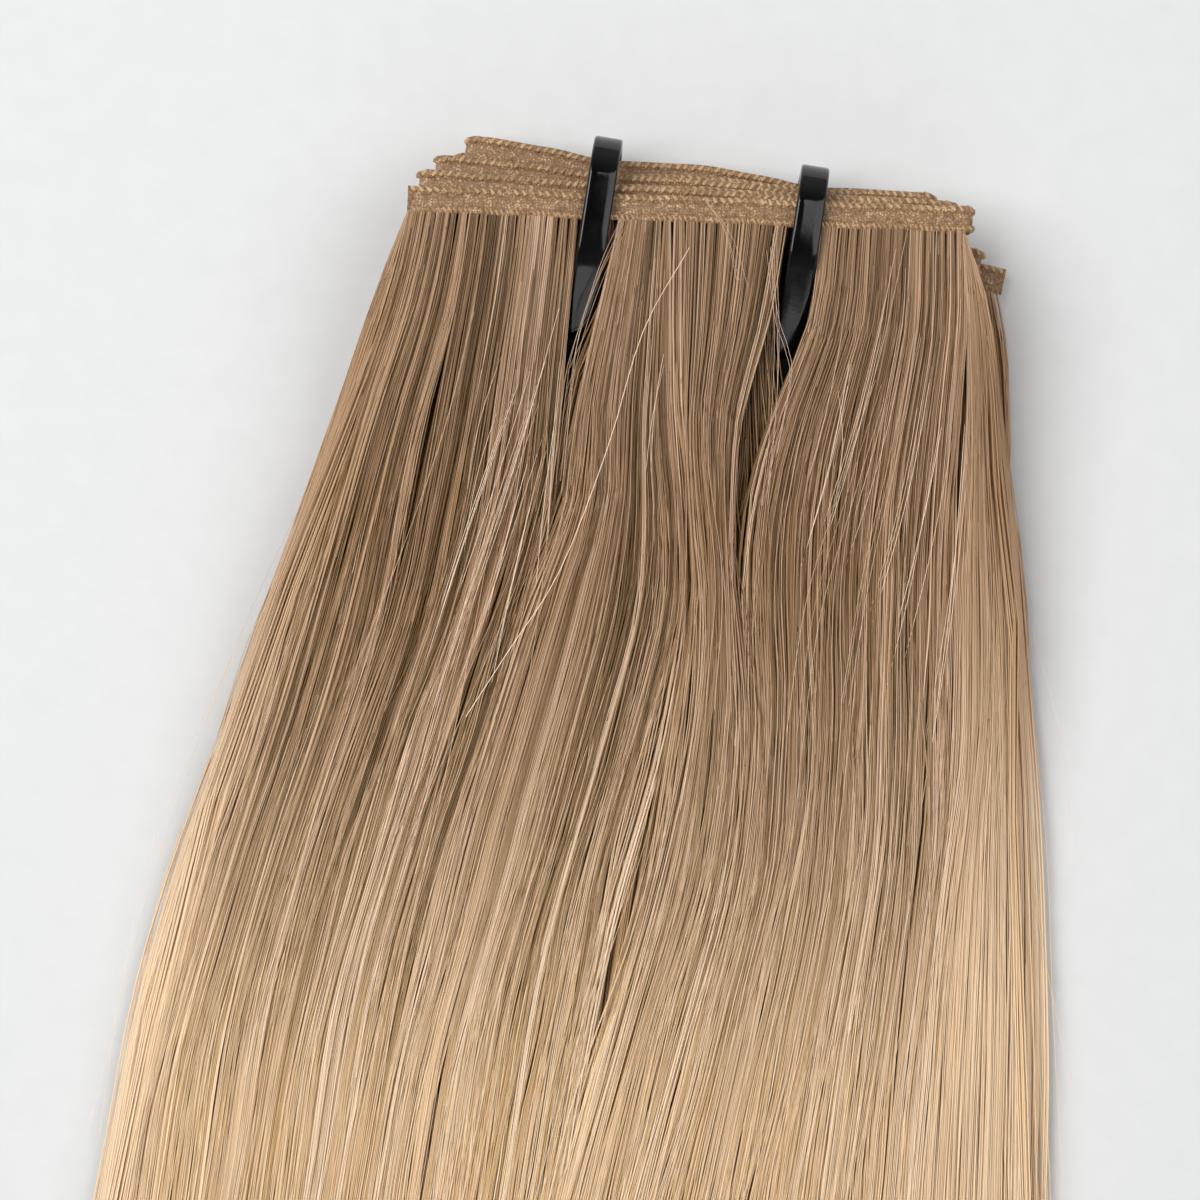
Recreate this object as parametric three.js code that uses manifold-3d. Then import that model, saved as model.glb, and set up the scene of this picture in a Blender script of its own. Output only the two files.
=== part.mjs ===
// Invisible weft hair extension: a thin stitched band folded to and fro into a flat stack,
// with a curtain of straight hair on each run and two cable ties looped round the stack.
// Millimetres. X runs along the band, Y points from the hair tips to the band, Z is up.

import * as THREE from 'three';
import { mergeVertices } from 'three/addons/utils/BufferGeometryUtils.js';
import Module from 'manifold-3d';

const wasm = await Module();
wasm.setup();

// Layers of the stack, which are thick at the band and settle towards the tips
const BAND_LAYER_PITCH = 1.4;
const TIP_LAYER_PITCH = 0.8;
const LAYER_GAP = 0.3;
const STACK_LIFT = 1.6;
const SETTLE_START_Y = -3;
const SETTLE_END_Y = -90;
const LIFT_FALL_START_Y = -22;
const EDGE_THINNING = 0.3;

// Weft band: a flat woven tape with a rolled top edge and a finer stitched lower edge
const BAND_HEIGHT = 3.4;
const BAND_WEB_THICKNESS = 0.8;
const TOP_EDGE_DIAMETER = 1.1;
const LOWER_EDGE_DIAMETER = 0.96;
const EDGE_STEPS = 4;
const STEPS_PER_RUN = 9;
const STEPS_PER_FOLD = 6;

// Where the band's top edge turns, from its free end on top to its free end underneath.
// drawn_in is how far the ties pull in the run that starts there.
const BAND_TURNS = [
  { x: -35.4, y: 3.4, drawn_in: 0.1 },
  { x: 36.1, y: 0.7, drawn_in: 0.2 },
  { x: -34.3, y: 5.8, drawn_in: 0.3 },
  { x: 34.0, y: 1.9, drawn_in: 0.4 },
  { x: -32.3, y: 8.2, drawn_in: 0.6 },
  { x: 31.5, y: 3.4, drawn_in: 0.9 },
  { x: -28.4, y: 11.2, drawn_in: 0.6 },
  { x: 38.0, y: -3.6, drawn_in: 0.3 },
  { x: -29.8, y: 9.5, drawn_in: 0.2 },
  { x: 40.8, y: -5.5, drawn_in: 0.0 },
];
const RUN_COUNT = BAND_TURNS.length - 1;
const DRAWN_IN_REACH = 7;

// Hair: the outline of all the curtains together, seen from above
const HAIR_LENGTH = 400;
const TIP_ROUNDING = 14;
const ROOT_GAP = 0.3;
const ROOT_INSET = 1.4;
const ROOT_REACH = 75;
const HAIR_OUTLINE = [
  { y: 12, left: -33, right: 36.0 },
  { y: -10, left: -39.8, right: 41.0 },
  { y: -36, left: -48.8, right: 41.8 },
  { y: -61, left: -57.8, right: 42.6 },
  { y: -86, left: -66.3, right: 43.5 },
  { y: -123, left: -74.0, right: 44.0 },
  { y: -200, left: -80.0, right: 46.0 },
  { y: -300, left: -76.0, right: 44.0 },
  { y: -420, left: -62.0, right: 34.0 },
];

// How far each curtain stays inside that outline, and where its tips end
const CURTAINS = [
  { left_inset: 1.5, right_inset: 2.5, tip_inset: 4 },
  { left_inset: 0.0, right_inset: 1.0, tip_inset: 0 },
  { left_inset: 0.8, right_inset: 1.8, tip_inset: 7 },
  { left_inset: 2.4, right_inset: 0.6, tip_inset: 3 },
  { left_inset: 1.2, right_inset: 1.4, tip_inset: 9 },
  { left_inset: 3.0, right_inset: 0.4, tip_inset: 2 },
  { left_inset: 4.0, right_inset: 0.2, tip_inset: 6 },
  { left_inset: 3.4, right_inset: 0.0, tip_inset: 1 },
  { left_inset: 4.6, right_inset: 0.6, tip_inset: 5 },
];
const CURTAIN_COLUMNS = 6;
const CURTAIN_ROWS = [0, 0.02, 0.05, 0.085, 0.125, 0.17, 0.22, 0.3, 0.42, 0.58, 0.76, 0.9, 1];

// Cable ties: a strap looped round the stack, and the locking head it runs through.
// The loop stands upright and leans a little across the band.
const STRAP_WIDTH = 3.6;
const STRAP_THICKNESS = 1.2;
const STRAP_BEVEL = 0.3;
const STRAP_TOP_CLEARANCE = 0.4;
const TIE_LEAN = THREE.MathUtils.degToRad(8.6);
const KNEE_Y = -5;
const HEAD_END_Z = 8;
const HEAD_WIDTH = 5.6;
const HEAD_LENGTH = 5.0;
const HEAD_HEIGHT = 6.5;
const HEAD_BEVEL = 0.5;
const HEAD_OVERHANG = 1.6;
const HEAD_MIDDLE_Z = 5.8;
const LOOP_RADII = { under_arch: 4, arch: 5, knee: 10, head: 4, under_head: 2.5 };
const TIES = [
  { name: 'tie_left', x: -11.6, arch_y: 9.1, head_y: -15.5, parting_end_y: -30 },
  { name: 'tie_right', x: 15.1, arch_y: 5.4, head_y: -18.5, parting_end_y: -29 },
];

// The parting that the hair leaves round each tie
const PARTING_START_Y = -6.5;
const PARTING_START_RADIUS = 2.7;
const PARTING_HALF_WIDTH = 4.0;
const PARTING_TAPER_SHARE = 0.4;
const PARTING_BOTTOM_Z = -5;
const PARTING_DEPTH = 30;

const STACK_TOP = STACK_LIFT + RUN_COUNT * BAND_LAYER_PITCH - LAYER_GAP;

const weave = new THREE.MeshStandardMaterial({ color: 0xb58f68, roughness: 0.8, metalness: 0 });
const hair = new THREE.MeshStandardMaterial({ color: 0xb8966f, roughness: 0.5, metalness: 0 });
const nylon = new THREE.MeshStandardMaterial({ color: 0x111112, roughness: 0.35, metalness: 0 });

const { lerp, smoothstep } = THREE.MathUtils;

// Closed geometry from vertices and triangles
function meshGeometry(points, triangles) {
  const geometry = new THREE.BufferGeometry();
  geometry.setAttribute('position', new THREE.Float32BufferAttribute(points.flatMap((p) => p.toArray()), 3));
  geometry.setIndex(triangles.flat());
  return geometry;
}

function toSolid(geometry) {
  const bare = geometry.clone();
  bare.deleteAttribute('normal');
  bare.deleteAttribute('uv');
  const merged = mergeVertices(bare);
  return new wasm.Manifold(new wasm.Mesh({
    numProp: 3,
    vertProperties: new Float32Array(merged.attributes.position.array),
    triVerts: new Uint32Array(merged.index.array),
  }));
}

function fromSolid(solid) {
  const cut = solid.getMesh();
  const geometry = new THREE.BufferGeometry();
  geometry.setAttribute('position', new THREE.BufferAttribute(new Float32Array(cut.vertProperties), 3));
  geometry.setIndex(new THREE.BufferAttribute(new Uint32Array(cut.triVerts), 1));
  return geometry;
}

function namedMesh(name, geometry, material) {
  geometry.computeVertexNormals();
  const mesh = new THREE.Mesh(geometry, material);
  mesh.name = name;
  return mesh;
}

// Layers

// 0 at the band, 1 where the hair has settled on the surface
function settled(y) {
  return 1 - smoothstep(y, SETTLE_END_Y, SETTLE_START_Y);
}

// Height of the lowest layer, which the straps of the ties hold up near the band
function stackLift(y) {
  return STACK_LIFT * smoothstep(y, SETTLE_END_Y, LIFT_FALL_START_Y);
}

function outlineAt(y) {
  const next = HAIR_OUTLINE.findIndex((row) => row.y <= y);
  const above = HAIR_OUTLINE[Math.max(next - 1, 0)];
  const below = HAIR_OUTLINE[Math.max(next, 1)];
  const share = (above.y - y) / (above.y - below.y);
  return { left: lerp(above.left, below.left, share), right: lerp(above.right, below.right, share) };
}

// Distance between layers, thinner towards the tips and towards both sides of the settled hair
function layerPitch(x, y) {
  const { left, right } = outlineAt(y);
  const aside = (2 * x - left - right) / (right - left);
  const thinning = 1 - EDGE_THINNING * settled(y) * Math.min(aside * aside, 1);
  return lerp(BAND_LAYER_PITCH, TIP_LAYER_PITCH, settled(y)) * thinning;
}

function layerBottom(layer, x, y) {
  return stackLift(y) + (RUN_COUNT - 1 - layer) * layerPitch(x, y);
}

function layerTop(layer, x, y) {
  return layerBottom(layer, x, y) + layerPitch(x, y) - LAYER_GAP;
}

// Weft band

function runFrame(run) {
  const start = BAND_TURNS[run];
  const end = BAND_TURNS[run + 1];
  const along = new THREE.Vector3(end.x - start.x, end.y - start.y, 0).normalize();
  const across = new THREE.Vector3(-along.y, along.x, 0);
  if (across.y < 0) across.negate();
  const z = STACK_LIFT + (RUN_COUNT - 1 - run) * BAND_LAYER_PITCH + (BAND_LAYER_PITCH - LAYER_GAP) / 2;
  return { start, end, along, across, z };
}

function drawnIn(run, x, y) {
  const pull = (tie) => Math.exp(-(((x - tie.x - y * Math.tan(TIE_LEAN)) / DRAWN_IN_REACH) ** 2));
  return BAND_TURNS[run].drawn_in * TIES.reduce((sum, tie) => sum + pull(tie), 0);
}

const FOLD_RADIUS = BAND_LAYER_PITCH / 2;
const FOLD_INSET = FOLD_RADIUS + TOP_EDGE_DIAMETER / 2;

// Top edge of a run at a share of its way, with room left at both ends for the folds
function runTopEdge(run, share) {
  const { start, end, along } = runFrame(run);
  const first = new THREE.Vector3(start.x, start.y, 0);
  const last = new THREE.Vector3(end.x, end.y, 0);
  if (run > 0) first.addScaledVector(along, FOLD_INSET);
  if (run < RUN_COUNT - 1) last.addScaledVector(along, -FOLD_INSET);
  const point = first.lerp(last, share);
  point.y -= drawnIn(run, point.x, point.y);
  return point;
}

// Middle of the band, its direction across and its facing, all along the folded way
function bandStations() {
  const stations = [];
  for (let run = 0; run < RUN_COUNT; run += 1) {
    const { along, across, z } = runFrame(run);
    const facing = new THREE.Vector3().crossVectors(along, across);
    for (let step = 0; step <= STEPS_PER_RUN; step += 1) {
      const middle = runTopEdge(run, step / STEPS_PER_RUN).addScaledVector(across, -BAND_HEIGHT / 2).setZ(z);
      stations.push({ middle, across, facing });
    }
    if (run < RUN_COUNT - 1) stations.push(...foldStations(run, along, across, z, facing.z));
  }
  return stations;
}

// The turn after a run: a half circle that comes back one layer lower
function foldStations(run, along, across, z, facing_up) {
  const next = runFrame(run + 1);
  const from = runTopEdge(run, 1).addScaledVector(across, -BAND_HEIGHT / 2);
  const to = runTopEdge(run + 1, 0).addScaledVector(next.across, -BAND_HEIGHT / 2);
  const stations = [];
  for (let step = 1; step < STEPS_PER_FOLD; step += 1) {
    const share = step / STEPS_PER_FOLD;
    const angle = Math.PI * share;
    const outward = new THREE.Vector3().copy(along).multiplyScalar(Math.sin(angle));
    outward.z = Math.cos(angle);
    const middle = from.clone().lerp(to, share).setZ(z - FOLD_RADIUS).addScaledVector(outward, FOLD_RADIUS);
    const turned_across = across.clone().lerp(next.across, share).normalize();
    stations.push({ middle, across: turned_across, facing: outward.clone().multiplyScalar(facing_up) });
  }
  return stations;
}

// The band's section: a flat web with a round bead along each edge
function bandSection() {
  const points = [];
  const half_web = BAND_WEB_THICKNESS / 2;
  const edges = [
    { radius: TOP_EDGE_DIAMETER / 2, side: 1 },
    { radius: LOWER_EDGE_DIAMETER / 2, side: -1 },
  ];
  for (const { radius, side } of edges) {
    const centre = side * (BAND_HEIGHT / 2 - radius);
    const reach = Math.PI - Math.asin(half_web / radius);
    for (let step = 0; step <= EDGE_STEPS; step += 1) {
      const angle = lerp(-reach, reach, step / EDGE_STEPS);
      const bead = new THREE.Vector2(Math.cos(angle), Math.sin(angle)).multiplyScalar(side * radius);
      points.push(bead.setX(bead.x + centre));
    }
  }
  return points;
}

function weftBand() {
  const section = bandSection();
  const stations = bandStations();
  const sides = section.length;
  const points = stations.flatMap(({ middle, across, facing }) => section.map(
    (p) => middle.clone().addScaledVector(across, p.x).addScaledVector(facing, p.y),
  ));
  const triangles = [];
  for (let ring = 0; ring + 1 < stations.length; ring += 1) {
    for (let side = 0; side < sides; side += 1) {
      const a = ring * sides + side;
      const b = ring * sides + (side + 1) % sides;
      triangles.push([a, b, b + sides], [a, b + sides, a + sides]);
    }
  }
  const last_ring = (stations.length - 1) * sides;
  for (const [a, b, c] of THREE.ShapeUtils.triangulateShape(section, [])) {
    triangles.push([a, c, b], [last_ring + a, last_ring + b, last_ring + c]);
  }
  return namedMesh('weft_band', meshGeometry(points, triangles), weave);
}

// Hair curtains

// A corner of a curtain's root line, just under the lower edge of its run
function rootPoint(run, share) {
  const { along, across } = runFrame(run);
  const rightwards = along.x > 0 ? share : 1 - share;
  const point = runTopEdge(run, rightwards).addScaledVector(across, -BAND_HEIGHT - ROOT_GAP);
  return point.addScaledVector(along, Math.sign(along.x) * lerp(ROOT_INSET, -ROOT_INSET, share));
}

// Sideways place of a curtain's edge, which starts at its root and joins the outline further down
function edgePlace(root, y, side, inset) {
  const offset = root.x - outlineAt(root.y)[side];
  const fade = Math.max(0, 1 - (root.y - y) / ROOT_REACH) ** 2;
  return outlineAt(y)[side] + lerp(inset, offset, fade);
}

function hairCurtain(run, partings) {
  const { left_inset, right_inset, tip_inset } = CURTAINS[run];
  const left_root = rootPoint(run, 0);
  const right_root = rootPoint(run, 1);
  const columns = CURTAIN_COLUMNS + 1;
  const upper = [];
  const lower = [];
  for (const row of CURTAIN_ROWS) {
    for (let column = 0; column < columns; column += 1) {
      const share = column / CURTAIN_COLUMNS;
      const tip_y = -HAIR_LENGTH + tip_inset + TIP_ROUNDING * (2 * share - 1) ** 2;
      const left = edgePlace(left_root, lerp(left_root.y, tip_y, row), 'left', left_inset);
      const right = edgePlace(right_root, lerp(right_root.y, tip_y, row), 'right', -right_inset);
      const x = lerp(left, right, share);
      const y = lerp(rootPoint(run, share).y, tip_y, row);
      upper.push(new THREE.Vector3(x, y, layerTop(run, x, y)));
      lower.push(new THREE.Vector3(x, y, layerBottom(run, x, y)));
    }
  }
  const whole = toSolid(sheet(upper, lower, columns));
  const solid = partings.reduce((rest, parting) => rest.subtract(parting), whole);
  return namedMesh(`hair_curtain_${run + 1}`, fromSolid(solid), hair);
}

// A closed sheet between two grids whose rows run from root to tip
function sheet(upper, lower, columns) {
  const rows = upper.length / columns;
  const under = upper.length;
  const triangles = [];
  const quad = (a, b, c, d) => triangles.push([a, b, c], [a, c, d]);
  for (let row = 0; row + 1 < rows; row += 1) {
    for (let column = 0; column + 1 < columns; column += 1) {
      const a = row * columns + column;
      quad(a, a + columns, a + columns + 1, a + 1);
      quad(under + a, under + a + 1, under + a + columns + 1, under + a + columns);
    }
  }
  const rim = [];
  for (let column = 0; column + 1 < columns; column += 1) rim.push(column);
  for (let row = 0; row + 1 < rows; row += 1) rim.push(row * columns + columns - 1);
  for (let column = columns - 1; column > 0; column -= 1) rim.push((rows - 1) * columns + column);
  for (let row = rows - 1; row > 0; row -= 1) rim.push(row * columns);
  rim.forEach((a, index) => {
    const b = rim[(index + 1) % rim.length];
    quad(a, b, under + b, under + a);
  });
  return meshGeometry([...upper, ...lower], triangles);
}

// Cable ties

function placeTie(object, tie) {
  object.position.set(tie.x, 0, 0);
  object.rotation.z = -TIE_LEAN;
  return object;
}

// The teardrop gap in the hair round a tie, right through the stack
function partingSolid(tie) {
  const shape = new THREE.Shape();
  const side_y = lerp(tie.head_y, tie.parting_end_y, PARTING_TAPER_SHARE);
  shape.moveTo(0, tie.parting_end_y);
  shape.quadraticCurveTo(PARTING_HALF_WIDTH, side_y, PARTING_HALF_WIDTH, tie.head_y);
  shape.lineTo(PARTING_START_RADIUS, PARTING_START_Y);
  shape.absarc(0, PARTING_START_Y, PARTING_START_RADIUS, 0, Math.PI, false);
  shape.lineTo(-PARTING_HALF_WIDTH, tie.head_y);
  shape.quadraticCurveTo(-PARTING_HALF_WIDTH, side_y, 0, tie.parting_end_y);
  const geometry = new THREE.ExtrudeGeometry(shape, {
    depth: PARTING_DEPTH,
    bevelEnabled: false,
    curveSegments: 3,
  });
  const placed = placeTie(new THREE.Object3D(), tie);
  placed.position.z = PARTING_BOTTOM_Z;
  placed.updateMatrix();
  return toSolid(geometry.applyMatrix4(placed.matrix));
}

// A loop with rounded corners, kept parallel to its inner outline at an offset
function loopPath(path, corners, offset) {
  corners.forEach((corner, index) => {
    const point = new THREE.Vector2(corner.y, corner.z);
    const before = corners[(index + corners.length - 1) % corners.length];
    const after = corners[(index + 1) % corners.length];
    const back = new THREE.Vector2(before.y, before.z).sub(point).normalize();
    const ahead = new THREE.Vector2(after.y, after.z).sub(point).normalize();
    const half_angle = Math.acos(THREE.MathUtils.clamp(back.dot(ahead), -1, 1)) / 2;
    const bisector = back.clone().add(ahead).normalize();
    const centre = point.clone().addScaledVector(bisector, corner.radius / Math.sin(half_angle));
    const middle_angle = Math.atan2(-bisector.y, -bisector.x);
    const half_turn = Math.PI / 2 - half_angle;
    const radius = corner.radius + offset;
    path.absarc(centre.x, centre.y, radius, middle_angle - half_turn, middle_angle + half_turn, false);
  });
  path.closePath();
  return path;
}

function strapLoop(tie) {
  const low = STRAP_THICKNESS;
  const high = STACK_TOP + STRAP_TOP_CLEARANCE;
  const corners = [
    { y: tie.arch_y, z: low, radius: LOOP_RADII.under_arch },
    { y: tie.arch_y, z: high, radius: LOOP_RADII.arch },
    { y: KNEE_Y, z: high, radius: LOOP_RADII.knee },
    { y: tie.head_y, z: HEAD_END_Z, radius: LOOP_RADII.head },
    { y: tie.head_y, z: low, radius: LOOP_RADII.under_head },
  ];
  const shape = loopPath(new THREE.Shape(), corners, STRAP_THICKNESS);
  shape.holes.push(loopPath(new THREE.Path(), corners, 0));
  const geometry = new THREE.ExtrudeGeometry(shape, {
    depth: STRAP_WIDTH - 2 * STRAP_BEVEL,
    bevelThickness: STRAP_BEVEL,
    bevelSize: STRAP_BEVEL,
    bevelOffset: -STRAP_BEVEL,
    bevelSegments: 1,
    curveSegments: 4,
  });
  geometry.translate(0, 0, STRAP_BEVEL - STRAP_WIDTH / 2);
  const upright = new THREE.Matrix4().makeBasis(
    new THREE.Vector3(0, 1, 0),
    new THREE.Vector3(0, 0, 1),
    new THREE.Vector3(1, 0, 0),
  );
  return geometry.applyMatrix4(upright);
}

function lockingHead(tie) {
  const shape = new THREE.Shape();
  const half_width = HEAD_WIDTH / 2;
  const half_length = HEAD_LENGTH / 2;
  shape.moveTo(-half_width, -half_length);
  shape.lineTo(half_width, -half_length);
  shape.lineTo(half_width, half_length);
  shape.lineTo(-half_width, half_length);
  shape.closePath();
  const geometry = new THREE.ExtrudeGeometry(shape, {
    depth: HEAD_HEIGHT - 2 * HEAD_BEVEL,
    bevelThickness: HEAD_BEVEL,
    bevelSize: HEAD_BEVEL,
    bevelOffset: -HEAD_BEVEL,
    bevelSegments: 1,
  });
  const bottom = HEAD_MIDDLE_Z - HEAD_HEIGHT / 2 + HEAD_BEVEL;
  return geometry.translate(0, tie.head_y - HEAD_OVERHANG, bottom);
}

function cableTie(tie) {
  const solid = toSolid(strapLoop(tie)).add(toSolid(lockingHead(tie)));
  return placeTie(namedMesh(tie.name, fromSolid(solid), nylon), tie);
}

// The whole assembly, with its origin under the middle of its box

const partings = TIES.map(partingSolid);
const assembly = new THREE.Group();
assembly.add(weftBand());
for (let run = 0; run < RUN_COUNT; run += 1) assembly.add(hairCurtain(run, partings));
for (const tie of TIES) assembly.add(cableTie(tie));

const box = new THREE.Box3().setFromObject(assembly, true);
const centre = box.getCenter(new THREE.Vector3());
assembly.position.set(-centre.x, -centre.y, -box.min.z);

export default assembly;
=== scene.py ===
"""Looks of a folded weft hair extension: its stitched band, its strands and its two cable ties.

The pieces are laid out in millimetres, X along the folded band, Y from the hair tips to the
band and Z up from the surface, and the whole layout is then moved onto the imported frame.
"""

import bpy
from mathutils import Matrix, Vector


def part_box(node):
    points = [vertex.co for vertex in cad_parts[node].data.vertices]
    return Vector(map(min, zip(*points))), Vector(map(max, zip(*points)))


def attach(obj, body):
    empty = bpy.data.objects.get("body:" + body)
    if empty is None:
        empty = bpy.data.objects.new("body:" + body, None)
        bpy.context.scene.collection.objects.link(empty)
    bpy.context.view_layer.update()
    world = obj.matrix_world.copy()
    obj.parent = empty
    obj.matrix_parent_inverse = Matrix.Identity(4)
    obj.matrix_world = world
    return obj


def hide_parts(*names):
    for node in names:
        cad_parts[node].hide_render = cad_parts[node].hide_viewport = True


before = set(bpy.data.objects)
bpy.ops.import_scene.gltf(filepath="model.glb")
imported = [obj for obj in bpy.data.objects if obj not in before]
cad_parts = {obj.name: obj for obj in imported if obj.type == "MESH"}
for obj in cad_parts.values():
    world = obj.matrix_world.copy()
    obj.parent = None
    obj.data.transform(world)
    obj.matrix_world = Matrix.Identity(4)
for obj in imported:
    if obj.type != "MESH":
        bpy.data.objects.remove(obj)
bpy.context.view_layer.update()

import logging
import math
from dataclasses import dataclass, field, fields
from enum import Enum

import bmesh
import bpy
import numpy as np

LOG = logging.getLogger("weft")
MM = 0.001
BODY = "root"
STRAND_UV = "strand_uv"
BAKE_UV = "OFBake"
BAND_UV = "band_uv"
SHADE_COLUMNS = 64
COLUMN_MARGIN = 0.1
STRAND_SIDES = 3
STRAP_CUTS = 3
THREAD_SIDES = 4
STITCH_SIZE_SHARE = 0.4
REFERENCE_LENGTH = 400.0


class Slot(Enum):
    """Material slots of the record."""

    HAIR = "hair"
    BAND = "band"
    TIE = "tie"


def linear(hex_colour: str) -> tuple[float, float, float, float]:
    """Turns an sRGB hex colour into linear RGBA.

    Args:
        hex_colour: Six hex digits, with or without a leading hash.

    Returns:
        Linear red, green, blue and an alpha of one.
    """
    digits = hex_colour.lstrip("#")
    channels = [int(digits[i:i + 2], 16) / 255 for i in (0, 2, 4)]
    curve = [c / 12.92 if c <= 0.04045 else ((c + 0.055) / 1.055) ** 2.4 for c in channels]
    return (*curve, 1.0)


def port(sockets: bpy.types.bpy_prop_collection, key: str | int) -> bpy.types.NodeSocket:
    """Finds a socket in use by its name or its place.

    Args:
        sockets: A node's inputs or outputs.
        key: The socket's name, or its index.

    Returns:
        The first socket of that name that the node's settings leave in use.
    """
    if isinstance(key, int):
        return sockets[key]
    return next(s for s in sockets if s.name == key and s.enabled)


def feed(tree: bpy.types.NodeTree, node: bpy.types.Node, inputs: dict) -> None:
    """Gives a node's inputs their values and links.

    Args:
        tree: The tree that the node is in.
        node: The node.
        inputs: For each input, by name or index, a value, a node whose first output feeds it,
            or an output socket.
    """
    for key, value in inputs.items():
        socket = port(node.inputs, key)
        if isinstance(value, bpy.types.Node):
            value = next(s for s in value.outputs if s.enabled)
        if isinstance(value, bpy.types.NodeSocket):
            tree.links.new(value, socket)
        else:
            socket.default_value = value


def add_node(tree: bpy.types.NodeTree, kind: str, inputs: dict | None = None, **settings) -> bpy.types.Node:
    """Adds a node with its settings, values and links.

    Args:
        tree: The tree that takes the node.
        kind: The node's type name.
        inputs: Its inputs' values and links, as feed takes them.
        **settings: Properties of the node itself.

    Returns:
        The new node.
    """
    node = tree.nodes.new(kind)
    for name, value in settings.items():
        setattr(node, name, value)
    feed(tree, node, inputs or {})
    return node


def start_material(name: str) -> tuple[bpy.types.Material, bpy.types.NodeTree, bpy.types.Node]:
    """Starts a material with nodes.

    Args:
        name: The material's name.

    Returns:
        The material, its tree and its shader.
    """
    material = bpy.data.materials.new(name)
    material.use_nodes = True
    return material, material.node_tree, material.node_tree.nodes["Principled BSDF"]


def set_ramp(ramp: bpy.types.ColorRamp, stops: dict[float, str]) -> None:
    """Gives a colour ramp its stops.

    Args:
        ramp: The ramp.
        stops: sRGB hex colours by position, in rising order.
    """
    while len(ramp.elements) < len(stops):
        ramp.elements.new(1.0)
    for element, (position, colour) in zip(ramp.elements, stops.items()):
        element.position = position
        element.color = linear(colour)


def smooth(value: np.ndarray, low: float, high: float) -> np.ndarray:
    """Smooth step from 0 at low to 1 at high."""
    t = np.clip((np.asarray(value, float) - low) / (high - low), 0, 1)
    return t * t * (3 - 2 * t)


def hermite(places: np.ndarray, knots: np.ndarray, values: np.ndarray) -> np.ndarray:
    """Smooth curve through values at rising knots, continued straight past both ends.

    Args:
        places: Where the curve is wanted.
        knots: Rising places of the values.
        values: Values at the knots.

    Returns:
        The curve at each place.
    """
    slopes = np.gradient(values, knots)
    i = np.clip(np.searchsorted(knots, places) - 1, 0, len(knots) - 2)
    span = knots[i + 1] - knots[i]
    t = np.clip((places - knots[i]) / span, 0, 1)
    start = (1 + 2 * t) * (1 - t) ** 2 * values[i] + t * (1 - t) ** 2 * span * slopes[i]
    end = t * t * (3 - 2 * t) * values[i + 1] + t * t * (t - 1) * span * slopes[i + 1]
    before = np.minimum(places - knots[0], 0) * slopes[0]
    after = np.maximum(places - knots[-1], 0) * slopes[-1]
    return start + end + before + after


# Layout of the folded stack


@dataclass(frozen=True)
class BandTurn:
    """Where the band's top edge turns, and how far the ties pull in the run that starts there."""

    x: float
    y: float
    drawn_in: float


@dataclass(frozen=True)
class OutlineRow:
    """Left and right edge of all the hair at one distance below the band."""

    y: float
    left: float
    right: float


@dataclass(frozen=True)
class TieSite:
    """Where a cable tie goes round the stack."""

    node: str
    x: float
    arch_y: float
    head_y: float
    parting_end_y: float
    cover_y: float


@dataclass(frozen=True)
class Stations:
    """Places along the folded band: its middle, its direction across and its facing."""

    middle: np.ndarray
    across: np.ndarray
    facing: np.ndarray


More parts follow.
